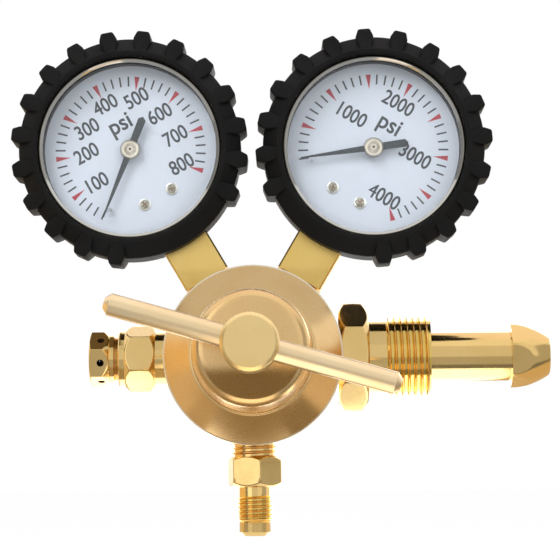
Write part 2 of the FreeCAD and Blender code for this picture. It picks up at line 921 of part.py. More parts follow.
def gauge_case():
    inner = case_radius - case_wall
    cup = turned([
        (0, -case_back),
        (case_radius - case_wall, -case_back),
        (case_radius, case_wall - case_back),
        (case_radius, case_front),
        (inner, case_front),
        (inner, case_wall - case_back),
        (0, case_wall - case_back),
    ])
    for x in [-case_screw_spread, case_screw_spread]:
        cup = cup.cut(disc_at(x, -case_screw_drop, case_screw_shank + still_gap,
                              -case_back - 1, case_wall - case_back + 1))
    return cup.cut(stem_bar(still_gap))


def stem_bar(growth):
    """The square bar of the stem, grown on its four sides, from its foot to the block's top."""
    half = stem_width / 2 + growth
    cut = stem_chamfer
    corners = [
        (half, cut - half), (half, half - cut), (half - cut, half), (cut - half, half),
        (-half, half - cut), (-half, cut - half), (cut - half, -half), (half - cut, -half),
    ]
    bar = prism(corners, block_top, stem_foot_down)
    bar.rotate(Vector(0, 0, 0), Vector(1, 0, 0), 90)
    return bar


def gauge_socket():
    half = stem_width / 2
    foot = block(-half, half, -case_radius + 2 * case_wall, -block_top, case_wall - case_back, -half)
    ledge = block(-half, half, -block_top, -ledge_top, case_wall - case_back,
                  back_plate_front - plate_gauge)
    thread = threaded(port_thread_radius, port_thread_root, port_thread_pitch,
                      stem_foot_down, thread_end_down)
    thread.rotate(Vector(0, 0, 0), Vector(1, 0, 0), 90)
    round_room = rod(case_radius - case_wall - still_gap, -case_back, -half)
    solid = joined([stem_bar(0), foot.common(round_room), ledge, thread])
    bore = Part.makeCylinder(stem_bore, thread_end_down - tube_ring_radius,
                             Vector(0, -thread_end_down, 0), Vector(0, 1, 0))
    solid = solid.cut(bore)
    for x, y in dial_screw_places():
        solid = solid.cut(disc_at(x, y, dial_screw_shank + still_gap, dial_back - dial_screw_depth, half + 1))
    for x in [-case_screw_spread, case_screw_spread]:
        solid = solid.cut(disc_at(x, -case_screw_drop, case_screw_shank + still_gap,
                                  -case_back, case_screw_depth - case_back))
    return solid


def dial_screw_places():
    return [polar(dial_screw_ring_radius, -90 + side * dial_screw_spread) for side in (-1, 1)]


def gauge_bezel():
    inner = case_radius + still_gap
    return turned([
        (inner, case_front - bezel_skirt),
        (bezel_radius, case_front - bezel_skirt),
        (bezel_radius, bezel_front - bezel_edge),
        (bezel_radius - bezel_edge / 3, bezel_front - bezel_edge / 3,
         bezel_radius - bezel_edge, bezel_front),
        (bezel_lip_radius + bezel_edge / 4, bezel_front),
        (bezel_lip_radius, bezel_front - bezel_edge / 2),
        (bezel_lip_radius, lens_front),
        (inner, lens_front),
    ])


def gauge_lens():
    return rod(case_radius, case_front, lens_front)


def gauge_dial():
    dial = rod(case_radius - case_wall - still_gap, dial_back, dial_front)
    dial = dial.cut(rod(dial_hole, dial_back - 1, dial_front + 1))
    for x, y in dial_screw_places():
        dial = dial.cut(disc_at(x, y, dial_screw_shank + still_gap, dial_back - 1, dial_front + 1))
    x, y = stop_pin_place()
    return dial.cut(disc_at(x, y, stop_pin_radius, dial_back - 1, dial_front + 1))


def dial_screws():
    screws = []
    for x, y in dial_screw_places():
        top = dial_front + dial_screw_head_height
        head = turned([
            (0, dial_back - dial_screw_depth + still_gap),
            (dial_screw_shank, dial_back - dial_screw_depth + still_gap),
            (dial_screw_shank, dial_front),
            (dial_screw_head, dial_front),
            (dial_screw_head, dial_front + dial_screw_head_height / 2),
            (dial_screw_head * 0.75, dial_front + dial_screw_head_height * 0.85, 0, top),
        ])
        half = recess_length / 2
        slot = block(-half, half, -recess_width / 2, recess_width / 2, top - recess_depth, top + 1)
        head = head.cut(slot).cut(spun(slot, 90))
        head.translate(Vector(x, y, 0))
        screws.append(head)
    return Part.makeCompound(screws)


def stop_pin_place():
    return polar(stop_pin_ring_radius, 90 - stop_pin_clock)


def stop_pin():
    x, y = stop_pin_place()
    return disc_at(x, y, stop_pin_radius, dial_back, dial_back + stop_pin_height)


def case_screws():
    screws = []
    for x in [-case_screw_spread, case_screw_spread]:
        screw = turned([
            (0, -case_back - case_screw_head_height),
            (case_screw_head * 0.7, -case_back - case_screw_head_height * 0.85,
             case_screw_head, -case_back - case_screw_head_height * 0.4),
            (case_screw_head, -case_back),
            (case_screw_shank, -case_back),
            (case_screw_shank, case_screw_depth - case_back - still_gap),
            (0, case_screw_depth - case_back - still_gap),
        ])
        bottom = -case_back - case_screw_head_height
        slot = block(-recess_length / 2, recess_length / 2, -recess_width / 2, recess_width / 2,
                     bottom - 1, bottom + recess_depth)
        screw = screw.cut(slot).cut(spun(slot, 90))
        screw.translate(Vector(x, -case_screw_drop, 0))
        screws.append(screw)
    return Part.makeCompound(screws)


def gauge_pointer():
    """Drawn straight up, then turned to where it rests."""
    half_root = pointer_root_width / 2
    half_tail = pointer_tail_width / 2
    blade = prism([
        (half_root, 0),
        (pointer_tip_width / 2, pointer_tip - pointer_tip_width),
        (0, pointer_tip),
        (-pointer_tip_width / 2, pointer_tip - pointer_tip_width),
        (-half_root, 0),
        (-half_tail, pointer_tail_point - pointer_tail),
        (0, -pointer_tail),
        (half_tail, pointer_tail_point - pointer_tail),
    ], pointer_back, pointer_front)
    boss = rod(pointer_boss, pointer_back, pointer_front)
    plate = joined([blade, boss]).cut(rod(arbor_radius + still_gap, pointer_back - 1, pointer_front + 1))
    return spun(plate, -pointer_rest_clock)


def pointer_hub():
    top = pointer_front + pointer_cap_height
    cap = turned([
        (arbor_radius + still_gap, pointer_front),
        (pointer_cap_radius, pointer_front),
        (pointer_cap_radius, pointer_front + pointer_cap_height / 3),
        (pointer_cap_radius * 0.85, pointer_front + pointer_cap_height * 0.75,
         2 * pointer_cap_dimple, top),
        (pointer_cap_dimple, top - pointer_cap_dimple / 2),
        (0, top - pointer_cap_dimple / 2),
        (0, pointer_front + pointer_cap_height / 3),
        (arbor_radius + still_gap, pointer_front + pointer_cap_height / 3),
    ])
    return cap


# Gauge movement

def gear_tooth(pitch_radius, teeth, count, first_angle, low, high):
    """Teeth with straight flanks on a round blank. Angles are of the tooth's middle, in degrees."""
    step = 360.0 / teeth
    tip = pitch_radius + 0.85 * gear_module
    root = pitch_radius - 1.15 * gear_module
    half_pitch = step / 2 * tooth_share
    half_root = half_pitch * 1.5
    half_tip = half_pitch * 0.45
    solids = []
    for k in range(count):
        middle = first_angle + k * step
        solids.append(prism([
            polar(root * 0.97, middle - half_root),
            polar(pitch_radius, middle - half_pitch),
            polar(tip, middle - half_tip),
            polar(tip, middle + half_tip),
            polar(pitch_radius, middle + half_pitch),
            polar(root * 0.97, middle + half_root),
        ], low, high))
    return solids


def sector_pivot():
    return polar(pivot_distance, sector_pivot_angle)


def gauge_pinion():
    low = back_plate_front - plate_gauge
    high = pointer_front + pointer_cap_height / 3 - still_gap
    root = pitch_pinion - 1.15 * gear_module
    first = sector_pivot_angle + 180.0 / pinion_teeth
    teeth = gear_tooth(pitch_pinion, pinion_teeth, pinion_teeth, first, gear_back, gear_back + pinion_length)
    blank = rod(root, gear_back, gear_back + pinion_length)
    collet = rod(pitch_pinion * 0.9, gear_back + pinion_length, gear_back + pinion_length + hair_height)
    return joined([rod(arbor_radius, low, high), blank, collet] + teeth)


def sector_gear():
    """Drawn about its own pivot, then moved there."""
    low = gear_back + (pinion_length - sector_thickness) / 2
    high = low + sector_thickness
    step = 360.0 / sector_teeth
    mesh_angle = sector_pivot_angle + 180
    first = mesh_angle + step
    last = first - step * (kept_sector_teeth - 1)
    root = pitch_sector - 1.15 * gear_module
    teeth = gear_tooth(pitch_sector, sector_teeth, kept_sector_teeth, last, low, high)
    edge_low = last - step * 0.7
    edge_high = first + step * 0.7
    spoke_angle = (edge_low + edge_high) / 2
    wedge = prism([(0, 0), polar(2 * root, edge_low), polar(2 * root, spoke_angle),
                   polar(2 * root, edge_high)], low, high)
    rim = rod(root, low, high).common(wedge).cut(rod(root - sector_arm_width, low - 1, high + 1))
    spoke = arm(0, 0, spoke_angle, root - sector_arm_width / 2, sector_arm_width, low, high)
    tail = arm(0, 0, sector_tail_angle, sector_tail, sector_arm_width, low, high)
    axle = rod(sector_axle_radius, back_plate_front - plate_gauge, front_plate_back + plate_gauge)
    collar = rod(sector_axle_radius * 2, back_plate_front + rest_gap, front_plate_back - rest_gap)
    pin_x, pin_y = polar(sector_tail, sector_tail_angle)
    pin = disc_at(pin_x, pin_y, link_pin_radius, high, high + rest_gap + link_thickness + rest_gap)
    sector = joined([rim, spoke, tail, axle, collar, pin] + teeth)
    x, y = sector_pivot()
    sector.translate(Vector(x, y, 0))
    return sector


def arm(x, y, degrees, length, width, low, high):
    """A flat bar with round ends, from a point along a direction."""
    dx, dy = polar(length, degrees)
    bar = block(0, length, -width / 2, width / 2, low, high)
    bar.rotate(Vector(0, 0, 0), Vector(0, 0, 1), degrees)
    bar.translate(Vector(x, y, 0))
    ends = [disc_at(x, y, width / 2, low, high), disc_at(x + dx, y + dy, width / 2, low, high)]
    return joined([bar] + ends)


def link_start():
    """The pin on the sector's tail."""
    x, y = sector_pivot()
    dx, dy = polar(sector_tail, sector_tail_angle)
    return x + dx, y + dy


def link_end():
    """The pin on the tube's tip."""
    return polar(tube_ring_radius - tip_pin_inset, tube_tip_angle - tip_pin_turn)


def arm_between(start, end, width, low, high):
    """A flat bar with round ends, from one point to another."""
    dx = end[0] - start[0]
    dy = end[1] - start[1]
    degrees = math.degrees(math.atan2(dy, dx))
    return arm(start[0], start[1], degrees, math.hypot(dx, dy), width, low, high)


def gauge_link():
    low = gear_back + (pinion_length + sector_thickness) / 2 + rest_gap
    high = low + link_thickness
    bar = arm_between(link_start(), link_end(), link_width, low, high)
    for hole_x, hole_y in [link_start(), link_end()]:
        bar = bar.cut(disc_at(hole_x, hole_y, link_pin_radius + run_gap, low - 1, high + 1))
    return bar


def movement_frame():
    pivot_x, pivot_y = sector_pivot()
    corners = [(pivot_x, pivot_y), post_places[1], post_places[0], post_places[2]]
    outline = Part.Face(Part.makePolygon([Vector(x, y, 0) for x, y in corners + corners[:1]]))
    plate = outline.makeOffset2D(plate_margin)
    plates = []
    for low in [back_plate_front - plate_gauge, front_plate_back]:
        solid = plate.extrude(Vector(0, 0, plate_gauge))
        solid.translate(Vector(0, 0, low))
        plates.append(solid)
    posts = [disc_at(x, y, post_radius, back_plate_front - plate_gauge / 2,
                     front_plate_back + plate_gauge / 2) for x, y in post_places]
    frame = joined(plates + posts)
    low = back_plate_front - plate_gauge - 1
    high = front_plate_back + plate_gauge + 1
    frame = frame.cut(rod(arbor_radius + run_gap, low, high))
    frame = frame.cut(disc_at(pivot_x, pivot_y, sector_axle_radius + run_gap, low, high))
    return frame.cut(stem_bar(still_gap))


def hairspring():
    """A flat spiral of half turns, its centre stepping from side to side."""
    low = gear_back + pinion_length
    inner_edges = []
    outer_edges = []
    radius = hair_inner
    centre = 0.0
    side = 1
    for k in range(2 * hair_turns):
        start = Vector(centre + side * radius, 0, low)
        middle = Vector(centre, side * radius, low)
        end = Vector(centre - side * radius, 0, low)
        inner_edges.append(Part.Arc(start, middle, end).toShape())
        wide = radius + hair_thickness
        outer_start = Vector(centre + side * wide, 0, low)
        outer_middle = Vector(centre, side * wide, low)
        outer_end = Vector(centre - side * wide, 0, low)
        outer_edges.append(Part.Arc(outer_start, outer_middle, outer_end).toShape())
        centre += side * hair_step / 4
        radius += hair_step / 4
        side = -side
    first = Part.LineSegment(inner_edges[0].Vertexes[0].Point, outer_edges[0].Vertexes[0].Point).toShape()
    last = Part.LineSegment(inner_edges[-1].Vertexes[-1].Point, outer_edges[-1].Vertexes[-1].Point).toShape()
    wire = Part.Wire(Part.__sortEdges__(inner_edges + outer_edges + [first, last]))
    return Part.Face(wire).extrude(Vector(0, 0, hair_height))


def tube_section(thickness, depth):
    """A flattened oval in the XZ plane on the ring that the tube follows."""
    flat = (depth - thickness) / 2
    left = tube_ring_radius - thickness / 2
    right = tube_ring_radius + thickness / 2
    return closed_face([
        (left, -flat),
        (tube_ring_radius, -depth / 2, right, -flat),
        (right, flat),
        (tube_ring_radius, depth / 2, left, flat),
    ])


def bourdon_tube():
    wall = 2 * tube_wall
    section = tube_section(tube_thickness, tube_depth)
    section = section.cut(tube_section(tube_thickness - wall, tube_depth - wall))
    half = stem_width / 2
    sweep = 270 - tube_tip_angle
    tube = section.revolve(Vector(0, 0, 0), Vector(0, 0, 1), sweep)
    tube = spun(tube, tube_tip_angle)
    return tube.cut(block(-half, 2 * case_radius, -2 * case_radius, -block_top, -case_back, case_back))


def tube_tip():
    """The block soldered into the end of the tube, with the link's pin."""
    low = gear_back + (pinion_length - sector_thickness) / 2
    high = low + sector_thickness
    inner = tube_ring_radius - tube_thickness / 2
    plug = block(inner, inner + tube_thickness, -tip_width, -still_gap, -tube_depth / 2, tube_depth / 2)
    plug = spun(plug, tube_tip_angle)
    end_x, end_y = link_end()
    x, y = polar(tube_ring_radius, tube_tip_angle - math.degrees(tip_width / 2 / tube_ring_radius))
    tab = arm_between((x, y), link_end(), link_width, low, high)
    pin = disc_at(end_x, end_y, link_pin_radius, high, high + 2 * rest_gap + link_thickness)
    tip = joined([plug, tab, pin])
    return tip.cut(bourdon_tube())


# Rubber boot

def gauge_boot():
    bezel_bore = bezel_radius + 4 * still_gap
    case_bore = case_radius + 4 * still_gap
    step = case_front - bezel_skirt - still_gap
    tread_back = boot_front - boot_tread
    base = turned([
        (bezel_bore, step),
        (bezel_bore, boot_front),
        (boot_lip_radius, boot_front),
        (boot_radius, boot_front - boot_lip_slope),
        (boot_radius, tread_back),
        (boot_skirt_radius, tread_back - boot_skirt_slope),
        (boot_skirt_radius, boot_back_chamfer - boot_back),
        (boot_skirt_radius - boot_back_chamfer, -boot_back),
        (boot_back_lip_radius, -boot_back),
        (boot_back_lip_radius, -case_back - still_gap),
        (case_bore, -case_back - still_gap),
        (case_bore, step),
    ])
    envelope = turned([
        (boot_lip_radius - 0.2, tread_back),
        (boot_radius - 1, tread_back),
        (boot_tooth_radius, tread_back + boot_tooth_slope),
        (boot_tooth_radius, boot_front - boot_tooth_slope),
        (boot_lip_radius + 0.2, boot_front),
        (boot_lip_radius - 0.2, boot_front),
    ])
    half_toe = boot_tooth_toe / 2
    half_base = boot_tooth_base / 2
    half_top = boot_tooth_top / 2
    tooth = prism([
        (boot_lip_radius - 0.5, -half_toe),
        (boot_radius, -half_base),
        (boot_tooth_radius + 0.2, -half_top),
        (boot_tooth_radius + 0.2, half_top),
        (boot_radius, half_base),
        (boot_lip_radius - 0.5, half_toe),
    ], tread_back, boot_front).common(envelope)
    count = int(round(360 / boot_tooth_pitch))
    teeth = []
    for k in range(1 + boot_teeth_left_out, count - boot_teeth_left_out):
        teeth.append(spun(tooth, -90 + k * boot_tooth_pitch - boot_tooth_turn))
    return joined([base] + teeth).cut(stem_bar(2 * still_gap))


gauge_pieces = {
    "case": gauge_case,
    "bezel": gauge_bezel,
    "lens": gauge_lens,
    "dial": gauge_dial,
    "pointer": gauge_pointer,
    "pointer_hub": pointer_hub,
    "dial_screws": dial_screws,
    "stop_pin": stop_pin,
    "socket": gauge_socket,
    "bourdon_tube": bourdon_tube,
    "tube_tip": tube_tip,
    "movement_frame": movement_frame,
    "sector_gear": sector_gear,
    "pinion": gauge_pinion,
    "link": gauge_link,
    "hairspring": hairspring,
    "boot": gauge_boot,
    "case_screws": case_screws,
}

regulator_pieces = {
    "body": body,
    "bonnet": bonnet,
    "diaphragm": diaphragm,
    "diaphragm_washer": diaphragm_washer,
    "diaphragm_plate": diaphragm_plate,
    "diaphragm_nut": diaphragm_nut,
    "range_spring": range_spring,
    "spring_button": spring_button,
    "adjusting_screw": adjusting_screw,
    "t_handle_rod": t_handle_rod,
    "valve_nozzle": valve_nozzle,
    "valve_poppet": valve_poppet,
    "poppet_seal": poppet_seal,
    "poppet_spring": poppet_spring,
    "inlet_nipple": inlet_nipple,
    "inlet_filter": inlet_filter,
    "inlet_nut": inlet_nut,
    "relief_body": relief_body,
    "relief_cap": relief_cap,
    "relief_disc": relief_disc,
    "relief_spring": relief_spring,
    "relief_washer": relief_washer,
    "outlet_fitting": outlet_fitting,
}

to_origin = Vector(-nose_end, 0, 0)


def save(shape, node):
    shape.translate(to_origin)
    shape.exportStep("parts/" + node + ".step")


os.makedirs("parts", exist_ok=True)

for node, make in regulator_pieces.items():
    save(make(), node)

for name, make in gauge_pieces.items():
    drawn = to_front(make())
    for side, clock in [("low_gauge_", low_gauge_angle), ("high_gauge_", high_gauge_angle)]:
        placed = to_port(drawn, clock)
        x, z = polar(gauge_reach, 90 - clock)
        placed.translate(Vector(x, 0, z))
        save(placed, side + name)
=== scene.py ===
import json
import math

import bmesh
import bpy
from mathutils import Matrix, Vector

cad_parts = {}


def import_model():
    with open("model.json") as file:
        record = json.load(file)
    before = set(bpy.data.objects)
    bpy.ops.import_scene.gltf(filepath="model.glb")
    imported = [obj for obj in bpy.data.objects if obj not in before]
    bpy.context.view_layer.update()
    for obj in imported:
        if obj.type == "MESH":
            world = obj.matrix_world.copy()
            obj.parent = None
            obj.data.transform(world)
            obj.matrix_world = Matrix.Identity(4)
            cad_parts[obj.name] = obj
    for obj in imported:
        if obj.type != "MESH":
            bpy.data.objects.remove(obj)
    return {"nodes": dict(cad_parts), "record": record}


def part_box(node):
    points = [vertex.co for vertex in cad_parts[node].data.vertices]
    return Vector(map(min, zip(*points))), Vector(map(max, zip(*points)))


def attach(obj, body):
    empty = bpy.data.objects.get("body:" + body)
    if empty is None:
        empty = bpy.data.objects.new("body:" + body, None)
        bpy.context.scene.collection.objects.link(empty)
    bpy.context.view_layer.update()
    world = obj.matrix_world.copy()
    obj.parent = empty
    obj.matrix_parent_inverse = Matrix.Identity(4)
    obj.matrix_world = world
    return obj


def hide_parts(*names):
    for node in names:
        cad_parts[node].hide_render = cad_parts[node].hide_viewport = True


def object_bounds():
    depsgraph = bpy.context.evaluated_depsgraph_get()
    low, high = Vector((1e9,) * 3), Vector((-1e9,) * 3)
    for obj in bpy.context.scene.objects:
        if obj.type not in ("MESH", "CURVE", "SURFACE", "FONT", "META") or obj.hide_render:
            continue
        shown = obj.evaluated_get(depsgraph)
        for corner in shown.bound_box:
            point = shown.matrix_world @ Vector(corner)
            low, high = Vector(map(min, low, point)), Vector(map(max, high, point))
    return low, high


# A two-gauge gas pressure regulator, dressed around its frame. Lengths are millimetres, turned into
# metres as each mesh is made, and metres for the studio's floor, lamps and sheets. Each piece is
# drawn in its own frame, z along its axis.

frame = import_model()
cad_low, cad_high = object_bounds()
mm = 0.001

# Places read from the frame, and the clock angles of the ports
body_axis_x = (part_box("bonnet")[0].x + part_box("bonnet")[1].x) / 2
body_centre = Vector((body_axis_x, 0.0, 0.0))
plug_length = 11.45
port_face = (body_axis_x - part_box("relief_body")[1].x) / mm + plug_length
floor_height = cad_low.z - 0.022
floor_reach = 4.0
low_gauge_angle = -30.35
high_gauge_angle = 30.35
inlet_angle = 90.0
outlet_angle = 180.0
relief_angle = 270.0

# Bonnet, measured forwards from the port plane
skirt_back = 9.05
skirt_radius = 23.25
flange_back = 14.5
flange_front = 18.6
flange_radius = 25.7
dome_foot = 29.0
dome_foot_radius = 17.9
dome_wall_radius = 16.9
dome_shoulder_radius = 16.1
dome_shoulder = 49.6
dome_shoulder_rounding = 3.99
dome_shoulder_end = 65.0
crown_top = 54.0
screw_hole = 6.06
spring_room_radius = 14.2
crown_under = 46.0
crown_steps = 6
crown_power = 1.2
crown_inner_radius = screw_hole * 1.15
spring_mouth_radius = 17.6
clamp_face = 15.6
skirt_bore = 21.05
flange_rounding = 0.6
foot_rounding = 0.35
foot_hollow = 0.45

# Adjusting screw and T-handle
screw_radius = 6.0
screw_root = 5.1
screw_pitch = 1.5
screw_end = 45.5
screw_chamfer = 0.6
hub_back = 63.0
hub_front = 77.0
hub_radius = 7.7
hub_chamfer = 0.9
handle_front = 70.0
handle_radius = 3.0
handle_length = 80.0
handle_chamfer = 1.5
handle_offset = 0.7
handle_slope = 15.9
handle_gap = 0.12

# Inlet
nipple_start = 12.55
nipple_radius = 7.2
nipple_bore = 2.4
filter_pocket_radius = 3.45
filter_pocket_end = 20.1
nose_shoulder = 75.0
nose_end = 86.6
nose_base_radius = 9.3
nose_end_radius = 5.7
nose_bulge = 0.95
nose_crown = 0.4
nose_flats = 16.5
nose_flat_turn = 10.0
nose_sharpness = 160.0
nose_steps = 40
nut_back = 24.5
nut_flats = 27.5
nut_hex_end = 33.3
nut_chamfer = 1.9
nut_collar_radius = 10.6
nut_thread_start = 38.5
nut_end = 51.4
nut_thread_radius = 12.25
nut_thread_root = 10.75
nut_thread_pitch = 1.814
nut_bore = 7.26

# Port threads, alike on the nipple and relief valve, and with a higher crest on the outlet
port_thread_radius = 6.6
port_thread_root = 5.9
port_thread_pitch = 1.41
plug_chamfer = 0.3
plug_relief = 0.2

# One pitch of any thread, as shares of its pitch and of its depth
thread_steps = [(0.0, 0.0), (0.38, 0.0), (0.44, 0.06), (0.62, 0.90), (0.66, 1.0), (0.74, 1.0), (0.78, 0.90),
                (0.96, 0.06)]

# Hexagon heads: how far their end faces reach towards the flats
hex_end_share = 0.955

# Edges sharper than these many degrees stay sharp
turned_crease = 30.0
fitting_crease = 26.0
node_crease = 28.0
bar_crease = 40.0
bezel_crease = 12.0
nipple_crease = 6.0

# Relief valve
relief_neck_radius = 7.8
relief_hex_start = 28.6
relief_hex_end = 37.5
relief_hex_flats = 17.0
relief_hex_chamfer = 1.7
relief_hex_turn = 8.0
relief_shoulder_radius = 8.2
relief_shoulder_end = 39.3
relief_bore = 2.0
relief_seat = 30.0
relief_lip_radius = 2.6
relief_lip_height = 0.4
relief_room_radius = 4.6
relief_room_end = 33.3
cap_socket_radius = 5.55
cap_tube_start = 33.35
cap_tube_radius = 5.5
cap_start = 40.7
cap_neck_radius = 7.0
cap_hex_start = 41.9
cap_end = 47.8
cap_flats = 14.0
cap_inner_chamfer = 1.9
cap_outer_chamfer = 0.5
cap_hex_turn = -12.0
cap_bore = 4.3
cap_bore_end = 46.0
cap_vent_radius = 1.05
cap_vent_at = 44.47
cap_vent_reach = (3.0, 10.0)
washer_radius = 6.4

# Outlet
outlet_taper_radius = 6.85
outlet_hex_start = 28.8
outlet_hex_end = 37.4
outlet_flats = 14.2
outlet_hex_chamfer = 1.1
outlet_hex_turn = 18.0
outlet_neck_radius = 4.57
flare_thread_start = 40.1
flare_thread_end = 47.5
flare_thread_radius = 5.55
flare_thread_root = 4.6
flare_thread_pitch = 1.27
flare_thread_run = 0.7
flare_collar_radius = 4.5
flare_start = 50.6
flare_end = 51.7
flare_end_radius = 3.4
outlet_bore = 2.2

# Gauges, measured forwards from the port plane
bezel_inner = 25.65
bezel_radius = 26.4
bezel_lip_radius = 25.1
bezel_slope = 0.75
bezel_back = 10.4
bezel_front = 14.0
lens_front = 12.8
dial_front = 7.6
print_height = 0.03
low_print_turn = -1.5
high_print_turn = -0.2
boot_lip_radius = 28.0
boot_radius = 32.2
boot_skirt_radius = 28.8
boot_tooth_radius = 34.35
boots_gap = 2.1
boot_front = 16.0
boot_shoulder = 12.4
boot_tread_back = 1.3
boot_skirt_front = -0.5
boot_back = -14.0
boot_back_chamfer = 1.2
boot_back_lip_radius = 22.0
boot_step = 10.35
boot_bezel_bore = 26.5
boot_case_bore = 25.8
boot_case_back = -12.05
boot_tooth_toe = 3.6
boot_tooth_base = 5.8
boot_tooth_top = 3.9
boot_tooth_slope = 1.4
boot_tooth_draft = 0.25
boot_tooth_rounding = 0.55
boot_tooth_pitch = 18.0
boot_tooth_turn = 1.3
boot_teeth_left_out = 1
gauge_reach = (boot_tooth_radius + boots_gap / 2) / math.sin(math.radians(high_gauge_angle))
pointer_front = 10.0
pointer_cap_radius = 2.45
pointer_cap_height = 0.95
pointer_bore = 0.55
dial_screw_ring = 16.5
dial_screw_spread = 16.0
dial_screw_radius = 1.8
dial_screw_height = 0.9
dial_screw_shank = 1.1
dial_screw_start = 2.95
recess_reach = 0.85
recess_width = 0.5
recess_depth = 0.45
recess_taper = 0.7
recess_turns = (0.5, 1.1)
stem_width = 14.0
digit_height = 0.70
stem_gap = 0.1
stem_hole_reach = (-40.0, -20.0)

# Dial faces. Clock angles run from straight up; the scale runs 270 degrees.
scale_start = 225.0
scale_sweep = 270.0
major_steps = 8
minor_steps = 5
tick_outer = 21.9
tick_inner = 19.0
tick_width = 0.46
major_inner = 17.7
major_width = 1.5
major_inner_width = 0.06
numeral_height = 4.2
numeral_squeeze = 0.82
numeral_gain = 0.085
unit_height = 4.9
unit_squeeze = 0.92
unit_gain = 0.11
mitre_limit = 1.4
low_unit_place = (1.05, 8.75)
high_unit_place = (0.7, 8.9)
low_label_places = ((13.4, -3.0), (13.0, 3.5), (14.4, 0.0), (15.6, 0.0),
                    (15.7, 1.0), (13.8, -1.0), (13.7, -1.0), (15.3, -1.0))
high_label_places = ((11.7, 6.4), (15.4, -1.1), (12.5, 2.4), (14.4, 2.4))

# Studio and camera
world_strength = 0.60
lamp_target_height = 0.02
fade_start = 0.75
camera_lens = 131.7
camera_place = (-77.63, -599.99, -33.71)
camera_turn = 0.108
camera_pitch = 5.393
camera_roll = -0.48


# Meshes

def mesh_object(name, points, faces, place, material, smooth_angle=32.0):
    """A mesh from points in millimetres, welded, with its sharp edges marked."""
    mesh = bpy.data.meshes.new(name)
    mesh.from_pydata([[c * mm for c in p] for p in points], [], faces)
    thing = bpy.data.objects.new(name, mesh)
    bpy.context.scene.collection.objects.link(thing)
    thing.matrix_world = place
    tidy_mesh(mesh, smooth_angle)
    mesh.materials.append(materials[material])
    return thing


def tidy_mesh(mesh, smooth_angle):
    work = bmesh.new()
    work.from_mesh(mesh)
    bmesh.ops.remove_doubles(work, verts=work.verts, dist=1e-7)
    bmesh.ops.dissolve_degenerate(work, edges=work.edges, dist=1e-8)
    bmesh.ops.recalc_face_normals(work, faces=work.faces)
    limit = math.radians(smooth_angle)
    for face in work.faces:
        face.smooth = True
    for edge in work.edges:
        edge.smooth = len(edge.link_faces) == 2 and edge.calc_face_angle(0.0) < limit
    work.to_mesh(mesh)
    work.free()


def evaluated_mesh(thing):
    """A new mesh of an object as its modifiers leave it."""
    bpy.context.view_layer.update()
    graph = bpy.context.evaluated_depsgraph_get()
    return bpy.data.meshes.new_from_object(thing.evaluated_get(graph))


def bake(thing):
    """Makes an object's modifiers part of its mesh."""
    thing.data = evaluated_mesh(thing)
    thing.modifiers.clear()


def boolean(thing, cutter, kind="DIFFERENCE"):
    """Cuts one object with another, or joins them."""
    modifier = thing.modifiers.new("cut", "BOOLEAN")
    modifier.operation = kind
    modifier.solver = "EXACT"
    modifier.material_mode = "TRANSFER"
    modifier.object = cutter
    bake(thing)
    bpy.data.objects.remove(cutter)


def drill(thing, place, material, radius, low, high, columns):
    """Cuts a round hole between two heights along the z axis of a place."""
    skin = Skin(even_columns(columns))
    skin.rings([(0.0, low), (radius, low), (radius, high), (0.0, high)])
    boolean(thing, skin.make("drill", place, material))


def paint(thing, material, test):
    """Gives a second material to the faces that pass a test of their radius and height."""
    thing.data.materials.append(materials[material])
    for face in thing.data.polygons:
        if test(face.center.xy.length / mm, face.center.z / mm):
            face.material_index = 1


def ring_faces(low, high):
    """The faces between two closed rings of point numbers."""
    return list(zip(low, low[1:] + low[:1], high[1:] + high[:1], high))


def prism(low, high):
    """The points and faces of a solid between two outlines of as many corners each."""
    first = list(range(len(low)))
    second = [len(low) + k for k in first]
    return low + high, [tuple(reversed(first)), tuple(second)] + ring_faces(first, second)


def collect(shapes):
    """Several shapes, each its points and faces, as one."""
    points = []
    faces = []
    for shape_points, shape_faces in shapes:
        start = len(points)
        points += shape_points
        faces += [tuple(start + k for k in face) for face in shape_faces]
    return points, faces


def even_columns(count):
    return [2 * math.pi * k / count for k in range(count)]


def hex_columns(turn, per_side=40, crowding=1.7):
    """Angles crowded towards the corners of a hexagon with one flat facing -y, turned."""
    angles = []
    for side in range(6):
        middle = math.radians(-90.0 + turn + 60.0 * side)
        for k in range(per_side):
            u = 2.0 * k / per_side - 1.0
            bent = math.copysign(1.0 - (1.0 - abs(u)) ** crowding, u)
            angles.append((middle + math.radians(30.0) * bent) % (2 * math.pi))
    return sorted(angles)


